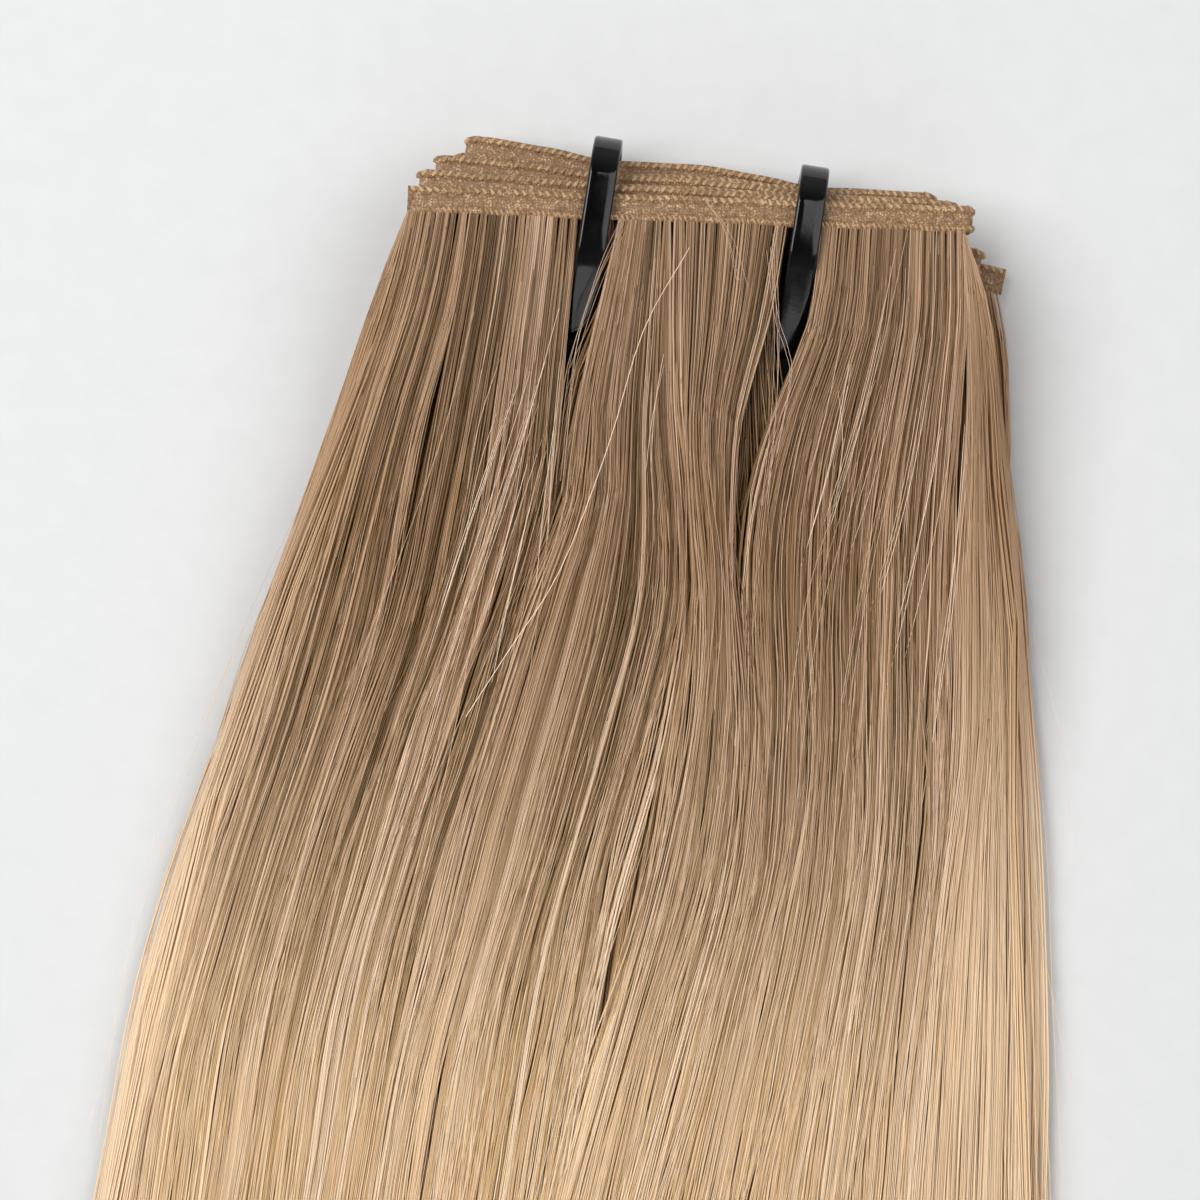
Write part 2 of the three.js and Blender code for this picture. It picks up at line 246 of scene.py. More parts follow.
@dataclass
class FoldedStack:
    """The layers that the folded band and its hair lie in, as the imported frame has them."""

    band_pitch: float = 1.4
    tip_pitch: float = 0.8
    layer_gap: float = 0.3
    lift: float = 1.6
    settle_start_y: float = -3.0
    settle_end_y: float = -90.0
    lift_fall_start_y: float = -22.0
    edge_thinning: float = 0.3
    band_height: float = 3.4
    top_edge_diameter: float = 1.1
    lower_edge_diameter: float = 0.96
    drawn_in_reach: float = 7.0
    tie_lean: float = math.radians(8.6)
    root_gap: float = 0.3
    root_reach: float = 50.0
    turns: tuple[BandTurn, ...] = (
        BandTurn(-35.4, 3.4, 0.1),
        BandTurn(36.1, 0.7, 0.2),
        BandTurn(-34.3, 5.8, 0.3),
        BandTurn(34.0, 1.9, 0.4),
        BandTurn(-32.3, 8.2, 0.6),
        BandTurn(31.5, 3.4, 0.9),
        BandTurn(-28.4, 11.2, 0.6),
        BandTurn(38.0, -3.6, 0.3),
        BandTurn(-29.8, 9.5, 0.2),
        BandTurn(40.8, -5.5, 0.0),
    )
    outline: tuple[OutlineRow, ...] = (
        OutlineRow(-420, -62.0, 34.0),
        OutlineRow(-300, -76.0, 44.0),
        OutlineRow(-200, -80.0, 46.0),
        OutlineRow(-123, -74.0, 44.0),
        OutlineRow(-86, -66.3, 43.5),
        OutlineRow(-61, -57.8, 42.6),
        OutlineRow(-36, -48.8, 41.8),
        OutlineRow(-10, -39.8, 41.0),
        OutlineRow(12, -33.0, 36.0),
    )
    ties: tuple[TieSite, ...] = (
        TieSite("tie_left", -11.6, 9.1, -15.5, -30.0, -20.0),
        TieSite("tie_right", 15.1, 5.4, -18.5, -29.0, -24.0),
    )
    offset: np.ndarray = field(default_factory=lambda: np.zeros(3))

    @property
    def runs(self) -> int:
        """Number of runs of the folded band."""
        return len(self.turns) - 1

    @property
    def top(self) -> float:
        """Height of the top of the stack at the band."""
        return self.lift + self.runs * self.band_pitch - self.layer_gap

    def settled(self, y: np.ndarray) -> np.ndarray:
        """Share of the settling: 0 at the band, 1 where the hair lies on the surface."""
        return 1 - smooth(y, self.settle_end_y, self.settle_start_y)

    def edges_at(self, y: np.ndarray) -> tuple[np.ndarray, np.ndarray]:
        """Left and right edge of the hair at a distance below the band."""
        rows = np.array([row.y for row in self.outline], float)
        left = hermite(y, rows, np.array([row.left for row in self.outline]))
        return left, hermite(y, rows, np.array([row.right for row in self.outline]))

    def pitch(self, x: np.ndarray, y: np.ndarray) -> np.ndarray:
        """Distance between layers, thinner towards the tips and towards both sides."""
        left, right = self.edges_at(y)
        aside = (2 * x - left - right) / (right - left)
        thinning = 1 - self.edge_thinning * self.settled(y) * np.minimum(aside * aside, 1)
        return (self.band_pitch + (self.tip_pitch - self.band_pitch) * self.settled(y)) * thinning

    def bottom(self, layer: int, x: np.ndarray, y: np.ndarray) -> np.ndarray:
        """Height of the underside of a layer, counted from the top one."""
        lifted = self.lift * smooth(y, self.settle_end_y, self.lift_fall_start_y)
        return lifted + (self.runs - 1 - layer) * self.pitch(x, y)

    def run_axes(self, run: int) -> tuple[np.ndarray, np.ndarray, float]:
        """Direction along a run, direction across it towards its top edge, and its height."""
        start, end = self.turns[run], self.turns[run + 1]
        along = np.array([end.x - start.x, end.y - start.y, 0.0])
        along /= np.linalg.norm(along)
        across = np.array([-along[1], along[0], 0.0]) * (1 if along[0] > 0 else -1)
        thickness = self.band_pitch - self.layer_gap
        return along, across, self.lift + (self.runs - 1 - run) * self.band_pitch + thickness / 2

    def top_edge(self, run: int, share: np.ndarray) -> np.ndarray:
        """Places on the top edge of a run, with room left at both ends for the folds.

        Args:
            run: The run, counted from the top one.
            share: Shares of the way from its first turn to its last.

        Returns:
            One place for each share, with Z at zero.
        """
        along, _, _ = self.run_axes(run)
        inset = self.band_pitch / 2 + self.top_edge_diameter / 2
        first = np.array([self.turns[run].x, self.turns[run].y, 0.0])
        last = np.array([self.turns[run + 1].x, self.turns[run + 1].y, 0.0])
        first += along * (inset if run > 0 else 0)
        last -= along * (inset if run < self.runs - 1 else 0)
        points = first + (last - first) * np.asarray(share, float)[:, None]
        pull = np.zeros(len(points))
        for tie in self.ties:
            aside = points[:, 0] - tie.x - points[:, 1] * math.tan(self.tie_lean)
            pull += np.exp(-((aside / self.drawn_in_reach) ** 2))
        points[:, 1] -= self.turns[run].drawn_in * pull
        return points

    def stations(self, steps_per_run: int, steps_per_fold: int) -> Stations:
        """Follows the band from its free end on top to its free end underneath.

        Args:
            steps_per_run: Steps along each run.
            steps_per_fold: Steps round each turn.

        Returns:
            The places along the band.
        """
        middle, across, facing = [], [], []
        for run in range(self.runs):
            along, side, z = self.run_axes(run)
            up = np.cross(along, side)
            share = np.linspace(0, 1, steps_per_run + 1)
            line = self.top_edge(run, share) - side * self.band_height / 2
            line[:, 2] = z
            middle.append(line)
            across.append(np.tile(side, (len(line), 1)))
            facing.append(np.tile(up, (len(line), 1)))
            if run == self.runs - 1:
                break
            _, next_side, _ = self.run_axes(run + 1)
            start = self.top_edge(run, [1.0])[0] - side * self.band_height / 2
            end = self.top_edge(run + 1, [0.0])[0] - next_side * self.band_height / 2
            turn = np.linspace(0, 1, steps_per_fold + 1)[1:-1, None]
            outward = along * np.sin(math.pi * turn) + np.array([0, 0, 1.0]) * np.cos(math.pi * turn)
            bend = start + (end - start) * turn
            bend[:, 2] = z - self.band_pitch / 2
            middle.append(bend + outward * self.band_pitch / 2)
            turned = side + (next_side - side) * turn
            across.append(turned / np.linalg.norm(turned, axis=1)[:, None])
            facing.append(outward * up[2])
        return Stations(np.concatenate(middle), np.concatenate(across), np.concatenate(facing))

    def root_line(self, run: int, rightwards: np.ndarray) -> np.ndarray:
        """Places along the lower edge of a run, from left to right, where its hair is stitched in."""
        along, across, z = self.run_axes(run)
        share = rightwards if along[0] > 0 else 1 - rightwards
        points = self.top_edge(run, share) - across * (self.band_height + self.root_gap)
        points[:, 2] = z
        return points

    def to_frame(self, points: np.ndarray) -> np.ndarray:
        """Moves layout points in millimetres onto the frame, in metres."""
        return (points + self.offset) * MM


# Meshes and Geometry Nodes


def make_object(name: str, mesh: bpy.types.Mesh) -> bpy.types.Object:
    """Links a mesh to the scene as an object of the same name."""
    piece = bpy.data.objects.new(name, mesh)
    bpy.context.scene.collection.objects.link(piece)
    return piece


def line_mesh(
    name: str, lines: np.ndarray, attributes: dict[str, np.ndarray], closed: bool = False
) -> bpy.types.Mesh:
    """Makes a mesh of open or closed lines that carry values at their points.

    Args:
        name: Name of the mesh.
        lines: Points in metres, as lines, points and coordinates.
        attributes: Values for each point, single numbers or vectors, by name.
        closed: Whether each line returns to its start.

    Returns:
        A mesh with edges and no faces.
    """
    count, steps = lines.shape[:2]
    mesh = bpy.data.meshes.new(name)
    mesh.vertices.add(count * steps)
    mesh.vertices.foreach_set("co", lines.astype(np.float32).ravel())
    index = np.arange(count * steps).reshape(count, steps)
    ahead = np.roll(index, -1, axis=1) if closed else index[:, 1:]
    pairs = np.stack([index[:, :ahead.shape[1]], ahead], axis=-1).reshape(-1, 2)
    mesh.edges.add(len(pairs))
    mesh.edges.foreach_set("vertices", pairs.astype(np.int32).ravel())
    for key, values in attributes.items():
        vector = values.ndim == 3
        layer = mesh.attributes.new(key, "FLOAT_VECTOR" if vector else "FLOAT", "POINT")
        layer.data.foreach_set("vector" if vector else "value", values.astype(np.float32).ravel())
    mesh.update()
    return mesh


def drop_attributes(mesh: bpy.types.Mesh, *names: str) -> None:
    """Removes values that only a tree needed.

    Args:
        mesh: The finished mesh.
        *names: Names of the values.
    """
    for name in names:
        layer = mesh.attributes.get(name)
        if layer is not None:
            mesh.attributes.remove(layer)


@dataclass
class NodeRecipe:
    """A Geometry Nodes tree with named inputs."""

    name: str
    tree: bpy.types.NodeTree = field(init=False)
    source: bpy.types.Node = field(init=False)

    def __post_init__(self) -> None:
        """Starts the tree with geometry in and geometry out."""
        self.tree = bpy.data.node_groups.new(self.name, "GeometryNodeTree")
        self.tree.interface.new_socket("Geometry", in_out="INPUT", socket_type="NodeSocketGeometry")
        self.tree.interface.new_socket("Geometry", in_out="OUTPUT", socket_type="NodeSocketGeometry")
        self.source = self.tree.nodes.new("NodeGroupInput")

    def take(self, name: str, kind: str) -> bpy.types.NodeSocket:
        """Adds a named input.

        Args:
            name: The input's name.
            kind: Its socket kind, such as Float, Int or Material.

        Returns:
            The socket that gives its value inside the tree.
        """
        self.tree.interface.new_socket(name, in_out="INPUT", socket_type=f"NodeSocket{kind}")
        return port(self.source.outputs, name)

    def add(self, kind: str, inputs: dict | None = None, **settings) -> bpy.types.Node:
        """Adds a node to the tree, as add_node does."""
        return add_node(self.tree, kind, inputs, **settings)

    def close(self, geometry: bpy.types.Node, material: bpy.types.NodeSocket) -> None:
        """Ends the tree with realized instances and a material."""
        real = self.add("GeometryNodeRealizeInstances", {"Geometry": geometry})
        dressed = self.add("GeometryNodeSetMaterial", {"Geometry": real, "Material": material})
        self.add("NodeGroupOutput", {"Geometry": dressed})

    def apply(self, piece: bpy.types.Object, values: dict[str, object]) -> bpy.types.Object:
        """Runs the tree on an object and leaves it with the result as a plain mesh.

        Args:
            piece: The object whose mesh is the tree's geometry.
            values: Input values by name.

        Returns:
            The same object.
        """
        modifier = piece.modifiers.new(self.name, "NODES")
        modifier.node_group = self.tree
        for item in self.tree.interface.items_tree:
            if item.in_out == "INPUT" and item.name in values:
                modifier[item.identifier] = values[item.name]
        graph = bpy.context.evaluated_depsgraph_get()
        source = piece.data
        result = bpy.data.meshes.new_from_object(
            piece.evaluated_get(graph), preserve_all_data_layers=True, depsgraph=graph
        )
        piece.modifiers.remove(modifier)
        result.name = piece.name
        piece.data = result
        bpy.data.meshes.remove(source)
        return piece


def strand_recipe() -> NodeRecipe:
    """Tree that turns lines into closed thin tubes with their own UV maps.

    Returns:
        A recipe that reads the point values girth, shade and reach.
    """
    recipe = NodeRecipe("strand tubes")
    sides = recipe.take("Sides", "Int")
    column = recipe.take("Column Width", "Float")
    material = recipe.take("Material", "Material")
    values = {
        name: recipe.add("GeometryNodeInputNamedAttribute", {"Name": name}, data_type="FLOAT")
        for name in ("girth", "shade", "reach", "around")
    }
    lines = recipe.add("GeometryNodeMeshToCurve", {"Mesh": recipe.source})
    ring = recipe.add("GeometryNodeCurvePrimitiveCircle", {"Resolution": sides, "Radius": 1.0}, mode="RADIUS")
    place = recipe.add("GeometryNodeInputIndex")
    share = recipe.add("ShaderNodeMath", {0: place, 1: sides}, operation="DIVIDE")
    marked = recipe.add(
        "GeometryNodeStoreNamedAttribute",
        {"Geometry": ring, "Name": "around", "Value": share},
        data_type="FLOAT", domain="POINT",
    )
    tubes = recipe.add(
        "GeometryNodeCurveToMesh",
        {"Curve": lines, "Profile Curve": marked, "Scale": values["girth"], "Fill Caps": True},
    )
    soft = recipe.add("GeometryNodeSetShadeSmooth", {"Geometry": tubes})
    aside = recipe.add(
        "ShaderNodeMath", {0: values["around"], 1: column, 2: values["shade"]}, operation="MULTIPLY_ADD"
    )
    for name, u in ((STRAND_UV, values["shade"]), (BAKE_UV, aside)):
        uv = recipe.add("ShaderNodeCombineXYZ", {"X": u, "Y": values["reach"]})
        soft = recipe.add(
            "GeometryNodeStoreNamedAttribute",
            {"Geometry": soft, "Name": name, "Value": uv},
            data_type="FLOAT2", domain="CORNER",
        )
    recipe.close(soft, material)
    return recipe


def strap_recipe() -> NodeRecipe:
    """Tree that sweeps a rounded flat strap along a closed line.

    Returns:
        A recipe that reads the point vector outward as the way that the strap's flat side faces.
    """
    recipe = NodeRecipe("strap sweep")
    width = recipe.take("Width", "Float")
    thickness = recipe.take("Thickness", "Float")
    rounding = recipe.take("Edge Radius", "Float")
    steps = recipe.take("Edge Steps", "Int")
    material = recipe.take("Material", "Material")
    outward = recipe.add("GeometryNodeInputNamedAttribute", {"Name": "outward"}, data_type="FLOAT_VECTOR")
    line = recipe.add("GeometryNodeMeshToCurve", {"Mesh": recipe.source})
    turned = recipe.add(
        "GeometryNodeSetCurveNormal", {"Curve": line, "Normal": outward}, mode="FREE"
    )
    section = recipe.add(
        "GeometryNodeCurvePrimitiveQuadrilateral", {"Width": thickness, "Height": width}, mode="RECTANGLE"
    )
    rounded = recipe.add(
        "GeometryNodeFilletCurve", {"Curve": section, "Count": steps, "Radius": rounding}, mode="POLY"
    )
    flat = recipe.add("GeometryNodeSubdivideCurve", {"Curve": rounded, "Cuts": STRAP_CUTS})
    swept = recipe.add("GeometryNodeCurveToMesh", {"Curve": turned, "Profile Curve": flat})
    soft = recipe.add("GeometryNodeSetShadeSmooth", {"Geometry": swept})
    recipe.close(soft, material)
    return recipe


def stitch_recipe() -> NodeRecipe:
    """Tree that lays a row of thread stitches along the band.

    Returns:
        A recipe that reads the point vectors across and facing of the band's middle line.
    """
    recipe = NodeRecipe("stitch row")
    take = {
        name: recipe.take(name, "Float")
        for name in (
            "Pitch", "Across Place", "Facing Place", "Stitch Radius", "Start Angle", "Sweep Angle",
            "Thread Radius", "Slant About Across", "Slant About Facing", "Unevenness",
        )
    }
    steps = recipe.take("Steps", "Int")
    seed = recipe.take("Seed", "Int")
    material = recipe.take("Material", "Material")
    across, facing = (
        recipe.add("GeometryNodeInputNamedAttribute", {"Name": name}, data_type="FLOAT_VECTOR")
        for name in ("across", "facing")
    )
    line = recipe.add("GeometryNodeMeshToCurve", {"Mesh": recipe.source})
    spaced = recipe.add("GeometryNodeResampleCurve", {"Curve": line, "Length": take["Pitch"]}, mode="LENGTH")
    shift_across, shift_facing = (
        recipe.add("ShaderNodeVectorMath", {0: way, "Scale": take[name]}, operation="SCALE")
        for way, name in ((across, "Across Place"), (facing, "Facing Place"))
    )
    shift = recipe.add("ShaderNodeVectorMath", {0: shift_across, 1: shift_facing}, operation="ADD")
    tangent = recipe.add("GeometryNodeInputTangent")
    upright = recipe.add(
        "FunctionNodeAxesToRotation",
        {"Primary Axis": tangent, "Secondary Axis": across},
        primary_axis="Z", secondary_axis="X",
    )
    uneven = recipe.add("ShaderNodeMath", {0: take["Unevenness"], 1: -1.0}, operation="MULTIPLY")
    wobble = recipe.add(
        "FunctionNodeRandomValue",
        {"Min": uneven, "Max": take["Unevenness"], "Seed": seed},
        data_type="FLOAT",
    )
    lean = recipe.add("ShaderNodeCombineXYZ", {
        axis: recipe.add("ShaderNodeMath", {0: take[name], 1: wobble}, operation="ADD")
        for axis, name in (("X", "Slant About Across"), ("Y", "Slant About Facing"))
    })
    turn = recipe.add("FunctionNodeEulerToRotation", {"Euler": lean})
    slanted = recipe.add(
        "FunctionNodeRotateRotation", {"Rotation": upright, "Rotate By": turn}, rotation_space="LOCAL"
    )
    arc = recipe.add(
        "GeometryNodeCurveArc",
        {
            "Resolution": steps, "Radius": take["Stitch Radius"],
            "Start Angle": take["Start Angle"], "Sweep Angle": take["Sweep Angle"],
        },
        mode="RADIUS",
    )
    ring = recipe.add(
        "GeometryNodeCurvePrimitiveCircle", {"Resolution": THREAD_SIDES, "Radius": take["Thread Radius"]}
    )
    thread = recipe.add("GeometryNodeCurveToMesh", {"Curve": arc, "Profile Curve": ring, "Fill Caps": True})
    size = recipe.add("ShaderNodeMath", {0: wobble, 1: STITCH_SIZE_SHARE, 2: 1.0}, operation="MULTIPLY_ADD")
    moved = recipe.add("GeometryNodeSetPosition", {"Geometry": spaced, "Offset": shift})
    laid = recipe.add(
        "GeometryNodeInstanceOnPoints",
        {"Points": moved, "Instance": thread, "Rotation": slanted, "Scale": size},
    )
    real = recipe.add("GeometryNodeRealizeInstances", {"Geometry": laid})
    soft = recipe.add("GeometryNodeSetShadeSmooth", {"Geometry": real})
    recipe.close(soft, material)
    return recipe


# Finishes


@dataclass(frozen=True)
class OmbreHair:
    """Straight combed human hair, dyed ash brown at the roots and blonde from there down.

    The cuticle gives each strand a soft sheen along its side. Neighbouring strands differ in colour, which
    makes combed hair look streaked:
    partly their own random tone, and partly painted light, with the darkest, most saturated shades as painted
    shade in the gaps between locks and the lightest, palest ones as painted highlights.
    """

    name: str = "human hair, combed, ash brown to blonde"
    root: str = "#9f7c58"
    middle: str = "#ae8962"
    fade: str = "#cead87"
    tip: str = "#f9dbb2"
    root_end: float = 45.0
    fade_middle: float = 75.0
    tip_start: float = 112.0
    shift: float = 16.0
    root_spread: float = 1.4
    tip_spread: float = 0.2
    darkest: float = 0.36
    lightest: float = 2.0
    dark_saturation: float = 1.42
    light_saturation: float = 0.64
    roughness: float = 0.34
    ior: float = 1.55

    def build(self) -> bpy.types.Material:
        """Makes the material.

        Returns:
            A material that reads each strand's shade and distance from the root.
        """
        material, tree, shader = start_material(self.name)
        uv = add_node(tree, "ShaderNodeUVMap", uv_map=STRAND_UV)
        parts = add_node(tree, "ShaderNodeSeparateXYZ", {"Vector": uv})
        chance = add_node(
            tree, "ShaderNodeTexWhiteNoise", {"W": port(parts.outputs, "X")}, noise_dimensions="1D"
        )
        dice = add_node(tree, "ShaderNodeSeparateColor", {"Color": port(chance.outputs, "Color")})
        half = self.shift / REFERENCE_LENGTH / 2
        start = add_node(
            tree, "ShaderNodeMapRange",
            {"Value": port(dice.outputs, "Red"), "To Min": -half, "To Max": half},
        )
        reach = add_node(tree, "ShaderNodeMath", {0: port(parts.outputs, "Y"), 1: start}, operation="ADD")
        ramp = add_node(tree, "ShaderNodeValToRGB", {"Fac": reach})
        set_ramp(ramp.color_ramp, {
            0.0: self.root,
            self.root_end / REFERENCE_LENGTH: self.middle,
            self.fade_middle / REFERENCE_LENGTH: self.fade,
            self.tip_start / REFERENCE_LENGTH: self.tip,
        })
        # The spread of shades is partly the strands' own tone and partly painted shade and painted
        # highlights, wide at the roots and narrow at the tips.
        spread = add_node(
            tree, "ShaderNodeMapRange",
            {
                "Value": reach, "From Min": self.root_end / REFERENCE_LENGTH,
                "From Max": self.tip_start / REFERENCE_LENGTH,
                "To Min": self.root_spread, "To Max": self.tip_spread,
            },
        )
        aside = add_node(
            tree, "ShaderNodeMapRange", {"Value": port(parts.outputs, "X"), "To Min": -1.0, "To Max": 1.0}
        )
        drawn = add_node(tree, "ShaderNodeMath", {0: spread, 1: aside, 2: 1.0}, operation="MULTIPLY_ADD")
        value_with_painted_light = add_node(
            tree, "ShaderNodeClamp", {"Value": drawn, "Min": self.darkest, "Max": self.lightest}
        )
        # Dark shades get more saturation, as the brown of painted shade between locks, and light shades less,
        # as painted highlights.
        warmth = add_node(
            tree, "ShaderNodeMapRange",
            {
                "Value": port(parts.outputs, "X"),
                "To Min": self.dark_saturation, "To Max": self.light_saturation,
            },
        )
        tone = add_node(
            tree, "ShaderNodeHueSaturation", {"Saturation": warmth, "Value": value_with_painted_light, "Color": ramp}
        )
        feed(tree, shader, {"Base Color": tone, "Roughness": self.roughness, "IOR": self.ior})
        return material


@dataclass(frozen=True)
class WeftTape:
    """Machine-sewn polyester tape, a fine knotted net with a satin face.

    The knots are painted as small pale dots, painted highlights where they catch the light, with darker
    thread in between.
    """

    name: str = "polyester weft tape, sewn, tan"
    dark: str = "#6c4e35"
    ground: str = "#876645"
    lit: str = "#987652"
    pale: str = "#d8bd98"
    stops: tuple[float, ...] = (0.16, 0.26, 0.43, 0.6)
    knot_pitch: float = 0.36
    knot_unevenness: float = 0.75
    knot_rim: tuple[float, float] = (0.05, 0.6)
    between_knots: float = 0.45
    speck_size: float = 0.9
    speck_detail: float = 3.0
    roughness: float = 0.5
    bump_strength: float = 0.7
    bump_depth: float = 0.08

    def build(self) -> bpy.types.Material:
        """Makes the material, whose knots follow the band's own UV map in millimetres."""
        material, tree, shader = start_material(self.name)
        uv = add_node(tree, "ShaderNodeUVMap", uv_map=BAND_UV)
        net = add_node(
            tree, "ShaderNodeTexVoronoi",
            {"Vector": uv, "Scale": 1 / self.knot_pitch, "Randomness": self.knot_unevenness},
            voronoi_dimensions="2D",
        )
        knots = add_node(
            tree, "ShaderNodeMapRange",
            {
                "Value": port(net.outputs, "Distance"), "From Min": self.knot_rim[0],
                "From Max": self.knot_rim[1], "To Min": 1.0, "To Max": self.between_knots,
            },
        )
        specks = add_node(
            tree, "ShaderNodeTexNoise",
            {"Vector": uv, "Scale": 1 / self.speck_size, "Detail": self.speck_detail},
        )
        weave = add_node(
            tree, "ShaderNodeMath", {0: knots, 1: port(specks.outputs, "Fac")}, operation="MULTIPLY"
        )
        # Pale knot peaks are painted highlights.
        ramp = add_node(tree, "ShaderNodeValToRGB", {"Fac": weave})
        tones = (self.dark, self.ground, self.lit, self.pale)
        set_ramp(ramp.color_ramp, dict(zip(self.stops, tones)))
        bump = add_node(
            tree, "ShaderNodeBump",
            {"Height": weave, "Strength": self.bump_strength, "Distance": self.bump_depth * MM},
        )
        feed(tree, shader, {"Base Color": ramp, "Normal": bump, "Roughness": self.roughness})
        return material


@dataclass(frozen=True)
class SewingThread:
    """Spun polyester sewing thread, a little paler and glossier than the tape under it."""

    name: str = "polyester sewing thread, spun, pale tan"
    dark: str = "#9f7b57"
    pale: str = "#cfae84"
    stops: tuple[float, float] = (0.36, 0.66)
    speck_size: float = 2.4
    speck_detail: float = 2.0
    speck_roughness: float = 0.7
    roughness: float = 0.55

    def build(self) -> bpy.types.Material:
        """Makes the material, with a tone that drifts from stitch to stitch."""
        material, tree, shader = start_material(self.name)
        place = add_node(tree, "ShaderNodeTexCoord")
        drift = add_node(
            tree, "ShaderNodeTexNoise",
            {
                "Vector": port(place.outputs, "Object"), "Scale": 1 / (self.speck_size * MM),
                "Detail": self.speck_detail, "Roughness": self.speck_roughness,
            },
        )
        ramp = add_node(tree, "ShaderNodeValToRGB", {"Fac": port(drift.outputs, "Fac")})
        set_ramp(ramp.color_ramp, dict(zip(self.stops, (self.dark, self.pale))))
        feed(tree, shader, {"Base Color": ramp, "Roughness": self.roughness})
        return material


@dataclass(frozen=True)
class MouldedNylon:
    """Black nylon 6.6, injection moulded in a polished tool.

    It is nearly mirror smooth, with a faint orange peel and dull rubbed spots. A real moulding's
    peel is too fine to show here, so it is drawn coarser, at half a millimetre.
    """

    name: str = "nylon, injection moulded, black"
    deep: str = "#050505"
    rubbed: str = "#100f0f"
    stops: tuple[float, float] = (0.35, 0.8)
    rub_size: float = 3.0
    rub_detail: float = 4.0
    rub_range: tuple[float, float] = (0.35, 0.75)
    peel_size: float = 0.5
    peel_detail: float = 2.0
    peel_strength: float = 0.15
    peel_depth: float = 0.02
    smooth_roughness: float = 0.07
    rubbed_roughness: float = 0.17
    ior: float = 1.53

    def build(self) -> bpy.types.Material:
        """Makes the material on Object coordinates."""
        material, tree, shader = start_material(self.name)
        place = add_node(tree, "ShaderNodeTexCoord")
        where = port(place.outputs, "Object")
        rub, peel = (
            port(add_node(
                tree, "ShaderNodeTexNoise", {"Vector": where, "Scale": 1 / (size * MM), "Detail": detail}
            ).outputs, "Fac")
            for size, detail in ((self.rub_size, self.rub_detail), (self.peel_size, self.peel_detail))
        )
        ramp = add_node(tree, "ShaderNodeValToRGB", {"Fac": rub})
        set_ramp(ramp.color_ramp, dict(zip(self.stops, (self.deep, self.rubbed))))
        gloss = add_node(
            tree, "ShaderNodeMapRange",
            {
                "Value": rub, "From Min": self.rub_range[0], "From Max": self.rub_range[1],
                "To Min": self.smooth_roughness, "To Max": self.rubbed_roughness,
            },
        )
        bump = add_node(
            tree, "ShaderNodeBump",
            {"Height": peel, "Strength": self.peel_strength, "Distance": self.peel_depth * MM},
        )
        feed(tree, shader, {"Base Color": ramp, "Roughness": gloss, "Normal": bump, "IOR": self.ior})
        return material


@dataclass(frozen=True)
class StudioPaper:
    """Matt pale background paper with a hardly visible tooth.

    Real paper's tooth of a tenth of a millimetre is too fine to show, so it is drawn coarser.
    """

    name: str = "background paper, matt, pale grey"
    low: str = "#dedfdf"
    high: str = "#e1e2e2"
    stops: tuple[float, float] = (0.3, 0.7)
    tooth_size: float = 4.0
    tooth_detail: float = 3.0
    roughness: float = 0.9

    def build(self) -> bpy.types.Material:
        """Makes the material on Object coordinates."""
        material, tree, shader = start_material(self.name)
        place = add_node(tree, "ShaderNodeTexCoord")
        tooth = add_node(
            tree, "ShaderNodeTexNoise",
            {
                "Vector": port(place.outputs, "Object"), "Scale": 1 / (self.tooth_size * MM),
                "Detail": self.tooth_detail,
            },
        )
        ramp = add_node(tree, "ShaderNodeValToRGB", {"Fac": port(tooth.outputs, "Fac")})
        set_ramp(ramp.color_ramp, dict(zip(self.stops, (self.low, self.high))))
        feed(tree, shader, {"Base Color": ramp, "Roughness": self.roughness})
        return material


# Band


@dataclass(frozen=True)
class StitchRow:
    """One row of stitches along the band, in millimetres and degrees.

    A stitch is an arc round the band's length. Angles are counted from the band's top edge
    towards its face.
    """

    name: str
    pitch: float
    across: float
    facing: float
    radius: float
    start: float
    sweep: float
    thread: float
    slant_across: float
    slant_facing: float
    steps: int


